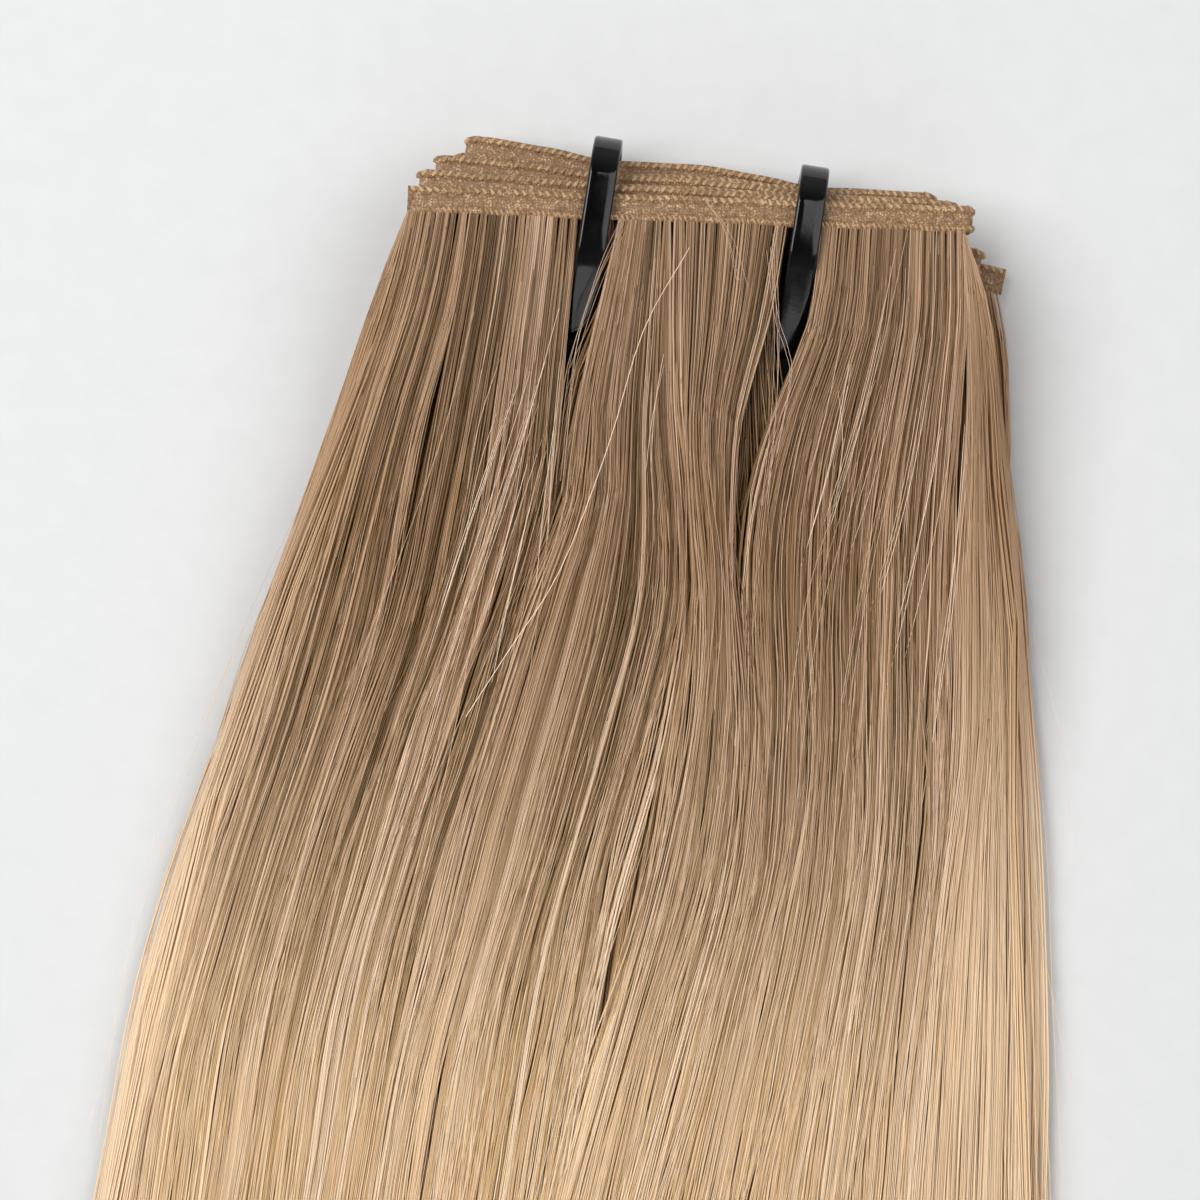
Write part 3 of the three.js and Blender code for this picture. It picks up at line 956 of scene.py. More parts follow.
@dataclass
class WeftBand:
    """The folded tape with its rolled top edge, its lower edge and its rows of stitches."""

    stack: FoldedStack
    steps_per_run: int = 30
    steps_per_fold: int = 10
    edge_steps: int = 8
    web_steps: int = 4
    cad_steps: tuple[int, int] = (9, 6)
    cad_section: tuple[int, int] = (4, 1)
    cad_tolerance: float = 0.1
    wave_height: float = 0.07
    wave_length: float = 9.0
    wave_shift: float = 3.0
    unevenness: float = 0.16
    end_margin: float = 0.3
    corner_rounding: float = 0.16
    face_thickness: float = 0.5
    rows: tuple[StitchRow, ...] = (
        StitchRow("top edge rope", 1.0, 1.12, 0.0, 0.5, -115, 230, 0.28, 6, 40, 9),
        StitchRow("lower edge seam", 0.66, -1.24, 0.0, 0.4, 50, 260, 0.2, 0, 30, 7),
    )

    def section(self, edge_steps: int, web_steps: int) -> np.ndarray:
        """Outline of the tape: a flat web with a round bead along each edge.

        Args:
            edge_steps: Steps round each bead.
            web_steps: Steps along each side of the web.

        Returns:
            Points as places across and places towards the facing side.
        """
        stack = self.stack
        beads = []
        for diameter, side in ((stack.top_edge_diameter, 1), (stack.lower_edge_diameter, -1)):
            radius = diameter / 2
            reach = math.pi - math.asin(self.face_thickness / 2 / radius)
            angle = np.linspace(-reach, reach, edge_steps + 1)
            across = side * (radius * np.cos(angle) + stack.band_height / 2 - radius)
            beads.append(np.stack([across, side * radius * np.sin(angle)], axis=1))
        outline = []
        for bead, following in ((beads[0], beads[1]), (beads[1], beads[0])):
            between = np.linspace(0, 1, web_steps + 1)[1:-1, None]
            outline += [bead, bead[-1] + (following[0] - bead[-1]) * between]
        return np.concatenate(outline)

    def rings(self, stations: Stations, section: np.ndarray) -> np.ndarray:
        """Places the section at each station.

        Args:
            stations: Places along the band.
            section: Outline of the tape.

        Returns:
            Points in layout millimetres, as stations, outline points and coordinates.
        """
        across = stations.across[:, None, :] * section[None, :, 0, None]
        facing = stations.facing[:, None, :] * section[None, :, 1, None]
        return stations.middle[:, None, :] + across + facing

    def place_stack(self) -> None:
        """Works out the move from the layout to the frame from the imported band's own box."""
        stations = self.stack.stations(*self.cad_steps)
        coarse = self.rings(stations, self.section(*self.cad_section)).reshape(-1, 3)
        low, high = (np.array(corner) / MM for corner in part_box("weft_band"))
        if np.abs((high - low) - np.ptp(coarse, axis=0)).max() > self.cad_tolerance:
            raise ValueError("the layout's band and the packed band differ in size")
        self.stack.offset = low - coarse.min(axis=0)

    def wavy_stations(self) -> Stations:
        """Stations of the finished band, which waves a little along its runs."""
        stations = self.stack.stations(self.steps_per_run, self.steps_per_fold)
        x, z = stations.middle[:, 0], stations.middle[:, 2]
        wave = np.sin(2 * math.pi * x / self.wave_length + self.wave_shift * z)
        stations.middle[:, 1] += self.wave_height * wave
        turned = 1 - np.abs(stations.facing[:, 2, None])
        stations.across[:] *= 1 - self.corner_rounding * turned
        return stations

    def build_tape(self, finish: bpy.types.Material) -> bpy.types.Object:
        """Makes the tape as one closed sweep.

        Args:
            finish: The tape's material.

        Returns:
            The piece.
        """
        stations = self.wavy_stations()
        section = self.section(self.edge_steps, self.web_steps)
        rings = self.rings(stations, section)
        count, sides = rings.shape[:2]
        mesh = bpy.data.meshes.new("weft_tape")
        shape = bmesh.new()
        verts = [shape.verts.new(p) for p in self.stack.to_frame(rings.reshape(-1, 3))]
        length = np.concatenate([[0], np.cumsum(np.linalg.norm(np.diff(stations.middle, axis=0), axis=1))])
        girth = np.concatenate([[0], np.cumsum(np.linalg.norm(np.diff(section, axis=0), axis=1))])
        girth = np.append(girth, girth[-1] + np.linalg.norm(section[0] - section[-1]))
        uv = shape.loops.layers.uv.new(BAND_UV)
        for i in range(count - 1):
            for j in range(sides):
                k = (j + 1) % sides
                face = shape.faces.new([verts[a] for a in (
                    i * sides + j, i * sides + k, (i + 1) * sides + k, (i + 1) * sides + j)])
                face.smooth = True
                spots = ((i, j), (i, j + 1), (i + 1, j + 1), (i + 1, j))
                for loop, (a, b) in zip(face.loops, spots):
                    loop[uv].uv = (length[a], girth[b])
        shape.faces.new(verts[:sides][::-1])
        shape.faces.new(verts[-sides:])
        bmesh.ops.recalc_face_normals(shape, faces=shape.faces)
        shape.to_mesh(mesh)
        shape.free()
        mesh.materials.append(finish)
        return make_object("weft_tape", mesh)

    def build_stitching(self, finish: bpy.types.Material) -> bpy.types.Object:
        """Lays every row of stitches along the band and joins them in one piece.

        Args:
            finish: The thread's material.

        Returns:
            The piece.
        """
        stations = self.wavy_stations()
        for end, inward in ((0, 1), (-1, -2)):
            stations.middle[end] += (stations.middle[inward] - stations.middle[end]) * self.end_margin
        points = self.stack.to_frame(stations.middle)[None]
        ways = {"across": stations.across[None], "facing": stations.facing[None]}
        recipe = stitch_recipe()
        joined = bmesh.new()
        for seed, row in enumerate(self.rows):
            strip = make_object(row.name, line_mesh(row.name, points, ways))
            recipe.apply(strip, {
                "Pitch": row.pitch * MM,
                "Across Place": row.across * MM,
                "Facing Place": row.facing * MM,
                "Stitch Radius": row.radius * MM,
                "Start Angle": math.radians(row.start),
                "Sweep Angle": math.radians(row.sweep),
                "Thread Radius": row.thread * MM,
                "Slant About Across": math.radians(row.slant_across),
                "Slant About Facing": math.radians(row.slant_facing),
                "Unevenness": self.unevenness,
                "Steps": row.steps,
                "Seed": seed,
                "Material": finish,
            })
            joined.from_mesh(strip.data)
            bpy.data.objects.remove(strip)
        mesh = bpy.data.meshes.new("weft_stitching")
        joined.to_mesh(mesh)
        joined.free()
        mesh.materials.append(finish)
        return make_object("weft_stitching", mesh)


# Hair


@dataclass
class StrandSet:
    """Strands in layout millimetres: their points, diameters, shades and distance from the root.

    A real hair of 0.07 mm is too fine to show on its own, so most strands are drawn thicker, each
    for a few hairs that lie together.
    """

    points: np.ndarray
    diameters: np.ndarray
    shades: np.ndarray
    reach: np.ndarray

    def build(
        self, name: str, stack: FoldedStack, recipe: NodeRecipe, finish: bpy.types.Material
    ) -> bpy.types.Object:
        """Makes the strands as one piece of thin closed tubes.

        Args:
            name: The piece's name.
            stack: The layout.
            recipe: The tree that makes tubes.
            finish: The hair's material.

        Returns:
            The piece.
        """
        steps = self.points.shape[1]
        shade = np.repeat(np.floor(self.shades * SHADE_COLUMNS)[:, None] / SHADE_COLUMNS, steps, axis=1)
        column = 1 / SHADE_COLUMNS
        values = {
            "girth": self.diameters * MM / 2,
            "shade": shade + COLUMN_MARGIN * column,
            "reach": np.clip(self.reach / REFERENCE_LENGTH, 0, 1),
        }
        piece = make_object(name, line_mesh(name, stack.to_frame(self.points), values))
        width = (1 - 2 * COLUMN_MARGIN) * column
        recipe.apply(piece, {"Sides": STRAND_SIDES, "Column Width": width, "Material": finish})
        drop_attributes(piece.data, *values, "around")
        return piece


@dataclass(frozen=True)
class LockSplit:
    """Which lock each strand belongs to, and the middle of that lock."""

    index: np.ndarray
    middle: np.ndarray

    def draw(self, rng: np.random.Generator, low: float = 0.0, high: float = 1.0) -> np.ndarray:
        """Draws one number for each lock and gives it to the lock's strands."""
        return rng.uniform(low, high, self.index.max() + 1)[self.index]


@dataclass
class HairGrowth:
    """What all strands share: how they leave the band, gather in locks and end."""

    stack: FoldedStack
    bundle_seed: int = 50
    bundle_pitch: float = 1.35
    bundle_gather: float = 0.42
    bundle_reach: float = 15.0
    bundle_span: float = 110.0
    bundle_unevenness: float = 0.35
    least_tightness: float = 0.1
    free_end: tuple[float, float] = (-38.0, -31.0)
    root_tuck: float = 0.7
    root_level: float = 0.42
    least_spread: float = 0.35
    spread_end: float = 10.0
    tip_taper: float = 0.35
    taper_start: float = 0.55
    thickness_unevenness: float = 0.2
    tip_unevenness: float = 17.0
    tip_limit: float = 4.0
    tip_rounding: float = 14.0
    tip_step: float = 1.4
    wave_orders: int = 5
    wave_lengths: tuple[float, float] = (45.0, 130.0)
    wave_widths: tuple[float, float] = (9.0, 34.0)
    wave_falloff: float = 0.8
    waves_begin: tuple[float, float] = (4.0, 40.0)
    waves_end: tuple[float, float] = (115.0, 175.0)
    own_drift: float = 0.25
    drift_begins: tuple[float, float] = (5.0, 60.0)
    reference_width: float = 80.0
    nudge: float = 0.35
    largest_nudged_gap: float = 9.0
    # Painted light at the edges of all the hair: the shade that edge strands are drawn towards, how strongly,
    # and how much sooner they turn blonde.
    edge_shade: float = 0.64
    edge_evening: float = 0.75
    painted_light_fade: float = 14.0
    painted_light_fade_begins: tuple[float, float] = (10.0, 60.0)

    def distances(
        self, levels: tuple[float, ...], lengths: np.ndarray, rng: np.random.Generator
    ) -> np.ndarray:
        """Distances from the root of each strand's points, uneven so that no bends line up.

        Args:
            levels: Distances that all strands are near, without the tips.
            lengths: Each strand's length.
            rng: Source of the unevenness.

        Returns:
            Distances as strands and points.
        """
        base = np.asarray(levels, float)
        gaps = np.minimum(np.diff(base, append=base[-1] * self.tip_step), self.largest_nudged_gap)
        nudge = rng.uniform(-self.nudge, self.nudge, (len(lengths), len(base))) * gaps
        nudge[:, 0] = 0
        return np.concatenate([base + nudge, lengths[:, None]], axis=1)

    def bundled(self, x: np.ndarray) -> np.ndarray:
        """Draws root places towards the bundles that are stitched in side by side.

        Args:
            x: Places along the band.

        Returns:
            Places in bundles, except at the free end on the left, where nothing lies underneath.
        """
        rng = np.random.default_rng(self.bundle_seed)
        low, high = 1 - self.bundle_unevenness, 1 + self.bundle_unevenness
        widths = rng.uniform(low, high, int(self.bundle_span / self.bundle_pitch)) * self.bundle_pitch
        edges = np.cumsum(widths) - self.bundle_span / 2
        index = np.searchsorted(edges, x)
        middle = (edges[index - 1] + edges[index]) / 2
        tightness = rng.uniform(self.least_tightness, 1, len(edges))[index] * self.bundle_gather
        return x + (middle - x) * tightness * smooth(x, *self.free_end)

    def rooted(self, x: np.ndarray, root: np.ndarray, distance: np.ndarray) -> np.ndarray:
        """Draws strands to their bundles where they leave the band.

        Args:
            x: Places across, as strands and points.
            root: Each strand's root.
            distance: Distances from the root, as strands and points.

        Returns:
            Places across that begin at the bundles.
        """
        drawn = np.clip(1 - distance / self.bundle_reach, 0, 1) ** 2
        return x + (self.bundled(root[:, 0]) - x[:, 0])[:, None] * drawn

    def levelled(self, height: np.ndarray, distance: np.ndarray) -> np.ndarray:
        """Places within the layer's thickness, drawn together at the roots.

        Args:
            height: Each strand's own place in the layer, from 0 to 1.
            distance: Distances from the root, as strands and points.

        Returns:
            Places as strands and points.
        """
        spread = self.least_spread + (1 - self.least_spread) * smooth(distance, 0, self.spread_end)
        return self.root_level + (height - self.root_level) * spread

    def shortened(self, count: int, rng: np.random.Generator) -> np.ndarray:
        """How much shorter than the longest each strand is."""
        return rng.exponential(self.tip_unevenness, count).clip(0, self.tip_limit * self.tip_unevenness)

    def ripple(
        self, place: np.ndarray, distance: np.ndarray, rng: np.random.Generator, height: float
    ) -> np.ndarray:
        """Sideways waves that neighbouring strands share.

        Args:
            place: Each strand's place across, in millimetres of the reference width.
            distance: Distances from the root, as strands and points.
            rng: Source of the waves.
            height: Height of the largest wave.

        Returns:
            Sideways moves, as strands and points.
        """
        total = np.zeros_like(distance)
        for order in range(1, self.wave_orders + 1):
            length = rng.uniform(*self.wave_lengths) / math.sqrt(order)
            width = rng.uniform(*self.wave_widths) / order
            phase = rng.uniform(0, 2 * math.pi)
            wave = np.sin(2 * math.pi * (distance / length + place[:, None] / width) + phase)
            total += height / order ** self.wave_falloff * wave
        full, still = self.waves_end
        return total * smooth(distance, *self.waves_begin) * smooth(-distance, -still, -full)

    def locks(
        self, place: np.ndarray, width: float, unevenness: float, rng: np.random.Generator
    ) -> LockSplit:
        """Splits strands into locks that lie side by side.

        Args:
            place: Each strand's place across.
            width: Mean width of a lock.
            unevenness: Largest share by which a lock is wider or narrower.
            rng: Source of the uneven widths.

        Returns:
            Each strand's lock.
        """
        count = int(np.ptp(place) / width / (1 - unevenness)) + 3
        edges = np.cumsum(rng.uniform(1 - unevenness, 1 + unevenness, count) * width)
        edges += place.min() - edges[0] - width * rng.uniform(0, 1)
        index = np.clip(np.searchsorted(edges, place), 1, count - 1)
        return LockSplit(index, (edges[index - 1] + edges[index]) / 2)

    def diameters(
        self, distance: np.ndarray, lengths: np.ndarray, diameter: float, rng: np.random.Generator
    ) -> np.ndarray:
        """Diameters along each strand, which thins towards its tip.

        Args:
            distance: Distances from the root, as strands and points.
            lengths: Each strand's length.
            diameter: Mean diameter at the root.
            rng: Source of the differences between strands.

        Returns:
            Diameters as strands and points.
        """
        low, high = 1 - self.thickness_unevenness, 1 + self.thickness_unevenness
        own = diameter * rng.uniform(low, high, (len(lengths), 1))
        thinning = smooth(distance / lengths[:, None], self.taper_start, 1.0)
        return own * (1 - (1 - self.tip_taper) * thinning)

    def painted_edge_light(
        self, outermost: np.ndarray, shades: np.ndarray, distance: np.ndarray
    ) -> tuple[np.ndarray, np.ndarray]:
        """Paints light onto the strands at the edge of all the hair: paler, more even shades stand for light
        that falls through a thin layer there.

        Args:
            outermost: How near each strand is to the edge, from 0 to 1.
            shades: Each strand's shade.
            distance: Distances from the root, as strands and points.

        Returns:
            Paler and more even shades, and distances by which those strands turn blonde sooner, both painted
            light.
        """
        evened = shades + (self.edge_shade - shades) * self.edge_evening * outermost
        sooner = self.painted_light_fade * outermost[:, None] * smooth(distance, *self.painted_light_fade_begins)
        return evened, distance + sooner


@dataclass
class HairCurtain(HairGrowth):
    """The hair of one lower run, which fans out between the edges of the stack."""

    run: int = 1
    first_seed: int = 100
    count: int = 480
    left_inset: float = 0.0
    right_inset: float = 0.0
    tip_inset: float = 0.0
    diameter: float = 0.26
    hair_length: float = 400.0
    root_margin: float = 0.01
    wave_height: float = 0.5
    lock_width: float = 1.6
    lock_unevenness: float = 0.5
    lock_pull: float = 0.3
    locks_begin: tuple[float, float] = (8.0, 45.0)
    lock_tone: float = 0.6
    own_tone: float = 0.4
    heights: tuple[float, float] = (0.05, 0.95)
    parting_reach: float = 9.0
    parting_start: float = 2.0
    parting_width: float = 3.0
    parting_opens: tuple[float, float] = (-5.0, -2.0)
    parting_closes: tuple[float, float] = (5.5, 5.6)
    parting_overrun: float = 6.0
    parting_fade: float = 0.8
    cover_lag: float | None = None
    side_level: int = 2
    # A tone below one darkens the run's shades. This is painted shade, for runs that show in the partings.
    tone: float = 1.0
    # Shares of the width, from each side, that get painted edge light.
    pale_share: float = 0.1
    pale_ramp: float = 0.06
    levels: tuple[float, ...] = (0, 5, 12, 20, 32, 50, 75, 105, 140, 240)

    def parted(self, x: np.ndarray, y: np.ndarray) -> np.ndarray:
        """Moves strands aside round the ties.

        Args:
            x: Places across.
            y: Places along the hair.

        Returns:
            Places across that keep clear of the ties.
        """
        lean = math.tan(self.stack.tie_lean)
        for tie in self.stack.ties:
            aside = x - (tie.x + y * lean)
            sign = np.where(aside[:, self.side_level, None] < 0, -1.0, 1.0)
            end = tie.parting_end_y - self.parting_overrun
            if self.cover_lag is not None:
                end = tie.cover_y - self.cover_lag
            closed, wide = (end + way for way in self.parting_closes)
            half = np.interp(
                y,
                [end, closed, max(wide, tie.head_y), *self.parting_opens],
                [0, self.parting_width, self.parting_width, self.parting_start, 0],
            )
            distance = np.maximum(aside * sign, 0)
            pushed = half + distance * (self.parting_reach - half) / self.parting_reach
            shift = (pushed - aside * sign) * np.clip(half / self.parting_fade, 0, 1)
            x = np.where(distance < self.parting_reach, x + sign * shift, x)
        return x

    def strands(self) -> StrandSet:
        """Lays the strands out.

        Returns:
            The strands of this run.
        """
        rng = np.random.default_rng(self.first_seed + self.run)
        stack = self.stack
        share = (np.arange(self.count) + rng.uniform(0, 1, self.count)) / self.count
        root = stack.root_line(self.run, self.root_margin + (1 - 2 * self.root_margin) * share)
        lengths = self.hair_length + root[:, 1] - self.tip_inset - self.tip_rounding * (2 * share - 1) ** 2
        lengths -= self.shortened(self.count, rng)
        distance = self.distances(self.levels, lengths, rng)
        y = root[:, 1, None] + self.root_tuck - distance
        corner_left, corner_right = stack.root_line(self.run, np.array([0.0, 1.0]))
        fade = np.clip(1 - distance / stack.root_reach, 0, 1) ** 2
        left, right = stack.edges_at(y)
        left_start = stack.edges_at(corner_left[1])[0]
        right_start = stack.edges_at(corner_right[1])[1]
        left = left + self.left_inset + (corner_left[0] - left_start - self.left_inset) * fade
        right = right - self.right_inset + (corner_right[0] - right_start + self.right_inset) * fade
        place = share * self.reference_width
        locks = self.locks(place, self.lock_width, self.lock_unevenness, rng)
        moved = (locks.middle - place) * self.lock_pull / self.reference_width
        x = left + (right - left) * (share[:, None] + moved[:, None] * smooth(distance, *self.locks_begin))
        x += self.ripple(place, distance, rng, self.wave_height)
        x += rng.normal(0, self.own_drift, (self.count, 1)) * smooth(distance, *self.drift_begins)
        x = self.parted(self.rooted(x, root, distance), y)
        height = rng.uniform(*self.heights, (self.count, 1))
        level = self.levelled(height, distance)
        z = stack.bottom(self.run, x, y) + stack.pitch(x, y) * level
        diameters = self.diameters(distance, lengths, self.diameter, rng)
        z = np.maximum(z, diameters)
        shades = self.lock_tone * locks.draw(rng) + self.own_tone * rng.uniform(0, 1, self.count)
        # Painted shade for the runs seen in the partings.
        shades *= self.tone
        # Strands near either side get painted edge light.
        outermost = np.clip((self.pale_share - np.minimum(share, 1 - share)) / self.pale_ramp, 0, 1)
        shades, reach = self.painted_edge_light(outermost, shades, distance)
        return StrandSet(np.stack([x, y, z], axis=-1), diameters, shades, reach)


class Side(Enum):
    """Which edge of all the hair a mass lies at."""

    INSIDE = 0
    LEFT = -1
    RIGHT = 1


@dataclass(frozen=True)
class LockMass:
    """A mass of hair that falls together on top: its edges at each level, in millimetres."""

    name: str
    left: tuple[float, ...]
    right: tuple[float, ...]
    rise: float
    side: Side = Side.INSIDE
    # Share of the mass, from its outer edge, that gets painted edge light.
    pale_share: float = 0.0


@dataclass
class FaceHair(HairGrowth):
    """The hair of the top run, which falls in masses with partings in between."""

    seed: int = 1
    count: int = 1080
    diameter: float = 0.14
    lift: float = 0.0
    spill: float = 0.0
    spill_begins: tuple[float, float] = (14.0, 40.0)
    hair_length: float = 396.0
    tip_unevenness: float = 16.0
    root_margin: float = 0.004
    fine_wave: float = 0.3
    wide_lock: float = 2.4
    wide_unevenness: float = 0.5
    wide_pull: float = 0.16
    wide_rise: float = 0.2
    fine_lock: float = 0.62
    fine_unevenness: float = 0.6
    fine_pull: float = 0.42
    fine_rise: float = 0.14
    locks_begin: tuple[float, float] = (8.0, 50.0)
    rise_begins: tuple[float, float] = (3.0, 28.0)
    least_spread: float = 0.3
    spread_end: float = 9.0
    crown_power: int = 4
    edge_sink: float = 0.4
    stray_share: float = 0.06
    stray_reach: float = 4.5
    strays_begin: tuple[float, float] = (10.0, 110.0)
    strays_end: tuple[float, float] = (120.0, 330.0)
    fray: float = 0.9
    fray_limit: float = 3.0
    fray_share: float = 0.3
    fray_begins: tuple[float, float] = (15.0, 110.0)
    drape: float = 0.65
    drape_reach: float = 7.0
    drape_begins: tuple[float, float] = (6.0, 35.0)
    fine_tone: float = 0.5
    wide_tone: float = 0.25
    own_tone: float = 0.25
    pale_ramp: float = 0.3
    least_span: float = 6.0
    fanned_levels: int = 4
    straightening: float = 26.0
    merging: tuple[float, float] = (75.0, 140.0)
    merged: float = 0.85
    levels: tuple[float, ...] = (
        0, 3.5, *(8 + 5.5 * step for step in range(22)), 131, 142, 156, 174, 205, 270)
    level_y: tuple[float, ...] = (-3.4, -14.6, -25.9, -37.1, -48.4, -63.4, -80.9, -102.1, -123.4)
    masses: tuple[LockMass, ...] = (
        LockMass("left fall",
                 (-37.1, -41.2, -45.2, -49.2, -53.5, -58.6, -64.6, -70.4, -74.0),
                 (-27.5, -29.9, -33.2, -35.6, -37.9, -42.0, -47.5, -53.0, -56.4), 0.0, Side.LEFT, 0.42),
        LockMass("left of the left tie",
                 (-27.4, -29.8, -32.1, -34.4, -36.8, -41.9, -47.4, -52.9, -56.3),
                 (-14.0, -15.3, -16.3, -17.5, -20.6, -25.3, -30.8, -36.3, -39.8), 0.1),
        LockMass("right of the left tie",
                 (-8.9, -12.0, -14.4, -15.8, -20.2, -25.2, -30.7, -36.2, -39.7),
                 (-2.0, -2.1, -1.9, -0.9, -0.6, -3.8, -8.0, -12.5, -16.8), 0.2),
        LockMass("centre lock",
                 (-1.9, -2.0, -1.8, -0.4, 0.4, -1.7, -5.0, -10.9, -16.4),
                 (12.4, 9.9, 6.5, 5.5, 5.8, 7.1, 5.7, 0.0, -5.6), 0.5),
        LockMass("right of the right tie",
                 (16.6, 14.8, 10.4, 7.4, 6.6, 7.3, 6.0, 0.3, -5.3),
                 (34.9, 34.9, 33.9, 33.2, 33.0, 32.6, 31.6, 29.4, 27.3), 0.3),
        # The whole right edge mass gets painted light, which offsets its shade on the side turned away from
        # the key light.
        LockMass("right edge",
                 (35.0, 35.0, 35.0, 34.5, 34.2, 33.6, 32.1, 29.6, 27.5),
                 (36.2, 38.2, 39.7, 41.2, 42.0, 42.6, 43.2, 43.5, 43.5), 0.0, Side.RIGHT, 1.1),
    )

    def edge(self, values: tuple[float, ...], y: np.ndarray) -> np.ndarray:
        """Follows a mass's edge, and below the last level turns to keep its share of the whole width.

        Args:
            values: The edge's places at the levels.
            y: Where it is wanted.

        Returns:
            Places across.
        """
        knots = np.array(self.level_y[::-1])
        placed = np.array(values[::-1])
        upper = hermite(np.maximum(y, knots[0]), knots, placed)
        left_end, right_end = self.stack.edges_at(knots[:2])
        last, before = (placed[:2] - left_end) / (right_end - left_end)
        slope = (before - last) / (knots[1] - knots[0])
        below = np.maximum(knots[0] - y, 0)
        share = last - slope * self.straightening * (1 - np.exp(-below / self.straightening))
        left, right = self.stack.edges_at(y)
        return np.where(y < knots[0], left + (right - left) * share, upper)

    def loosened(
        self, mass: LockMass, share: np.ndarray, distance: np.ndarray, rng: np.random.Generator
    ) -> np.ndarray:
        """Sideways moves of single strands that leave their mass, or the edge of all the hair.

        Args:
            mass: The mass.
            share: Each strand's share of the way across it.
            distance: Distances from the root, as strands and points.
            rng: Source of the moves.

        Returns:
            Moves across, as strands and points.
        """
        stray = rng.uniform(0, 1, len(share)) < self.stray_share * (mass.side is Side.INSIDE)
        drift = rng.normal(0, self.stray_reach, len(share)) * stray
        full, back = self.strays_end
        moves = drift[:, None] * smooth(distance, *self.strays_begin) * smooth(-distance, -back, -full)
        inside = share if mass.side is Side.LEFT else 1 - share
        outermost = np.clip(1 - inside / self.fray_share, 0, 1)
        frayed = rng.exponential(self.fray, len(share)).clip(0, self.fray_limit * self.fray)
        outwards = mass.side.value * outermost * frayed
        return moves + outwards[:, None] * smooth(distance, *self.fray_begins)

    def mass_strands(self, mass: LockMass, count: int, rng: np.random.Generator) -> StrandSet:
        """Lays out the strands of one mass.

        Args:
            mass: The mass.
            count: How many strands it has.
            rng: Source of what is uneven.

        Returns:
            The strands.
        """
        stack = self.stack
        share = (np.arange(count) + rng.uniform(0, 1, count)) / count
        root_width = mass.right[0] - mass.left[0]
        start = mass.left[0] + root_width * share
        ends = stack.root_line(0, np.array([0.0, 1.0]))[:, 0]
        whole = (start - ends[0]) / (ends[1] - ends[0])
        root = stack.root_line(0, np.clip(whole, self.root_margin, 1 - self.root_margin))
        lengths = self.hair_length + root[:, 1] - self.tip_rounding * (2 * whole - 1) ** 2
        lengths -= self.shortened(count, rng)
        distance = self.distances(self.levels, lengths, rng)
        y = root[:, 1, None] + self.root_tuck - distance
        spill = self.spill * smooth(distance, *self.spill_begins)
        left = self.edge(mass.left, y) - spill
        right = self.edge(mass.right, y) + spill
        span = max(root_width, self.least_span)
        place = share * span
        open_up = smooth(distance, *self.locks_begin)
        wide = self.locks(place, self.wide_lock, self.wide_unevenness, rng)
        fine = self.locks(place, self.fine_lock, self.fine_unevenness, rng)
        moved = (wide.middle - place) * self.wide_pull + (fine.middle - place) * self.fine_pull
        local = share[:, None] + moved[:, None] / span * open_up
        x = left + (right - left) * local
        x += self.ripple(place, distance, rng, self.fine_wave)
        x += rng.normal(0, self.own_drift, (count, 1)) * smooth(distance, *self.drift_begins)
        x += self.loosened(mass, share, distance, rng)
        x = self.rooted(x, root, distance)
        height = np.sqrt(rng.uniform(0, 1, (count, 1)))
        apart = 1 - self.merged * smooth(distance, *self.merging)
        crown = 1 - apart * (2 * np.clip(local, 0, 1) - 1) ** self.crown_power
        level = self.levelled(height, distance)
        own_rise = wide.draw(rng, 0, self.wide_rise) + fine.draw(rng, 0, self.fine_rise)
        rise = (self.lift + mass.rise * crown + own_rise[:, None]) * smooth(distance, *self.rise_begins)
        z = stack.bottom(0, x, y) + stack.pitch(x, y) * level + rise - self.edge_sink * (1 - crown) * open_up
        diameters = self.diameters(distance, lengths, self.diameter, rng)
        if mass.side is not Side.INSIDE:
            inside = x - left if mass.side is Side.LEFT else right - x
            sunk = np.clip(1 - inside / self.drape_reach, 0, 1) ** 2
            z -= (z - diameters) * self.drape * sunk * smooth(distance, *self.drape_begins)
        shades = self.fine_tone * fine.draw(rng) + self.wide_tone * wide.draw(rng)
        shades += self.own_tone * rng.uniform(0, 1, count)
        # Strands near the outer edge get painted edge light.
        inside = share if mass.side is Side.LEFT else 1 - share
        outermost = np.clip((mass.pale_share - inside) / self.pale_ramp, 0, 1)
        shades, reach = self.painted_edge_light(outermost, shades, distance)
        return StrandSet(np.stack([x, y, z], axis=-1), diameters, shades, reach)

    def strands(self) -> StrandSet:
        """Lays out all masses, each with strands in proportion to its width where it has fanned out.

        Returns:
            The strands of the top run.
        """
        rng = np.random.default_rng(self.seed)
        widths = [np.subtract(mass.right, mass.left)[-self.fanned_levels:].mean() for mass in self.masses]
        sets = [
            self.mass_strands(mass, round(self.count * width / sum(widths)), rng)
            for mass, width in zip(self.masses, widths)
        ]
        return StrandSet(*(
            np.concatenate([getattr(part, column.name) for part in sets]) for column in fields(StrandSet)
        ))


@dataclass(frozen=True)
class LooseHair:
    """The path of a single hair: places across, along, and as a share of the pile's height.

    Its painted_glint_lead is how much sooner than the combed hair it turns blonde, painted light for the
    light that it catches, and its slip how far its copies lie apart along the hair.
    """

    x: tuple[float, ...]
    y: tuple[float, ...]
    share: tuple[float, ...]
    copies: int = 1
    diameter: float = 0.07
    painted_glint_lead: float = 0.0
    slip: float = 1.0


@dataclass(frozen=True)
class CrossingHair(LooseHair):
    """A hair that rises out of the locks, crosses them at a slant and sinks back, painted lighter as a
    painted glint where it catches the light.
    """

    share: tuple[float, ...] = (0.94, 1.11, 0.95)
    diameter: float = 0.09
    painted_glint_lead: float = 38.0
    slip: float = 5.0


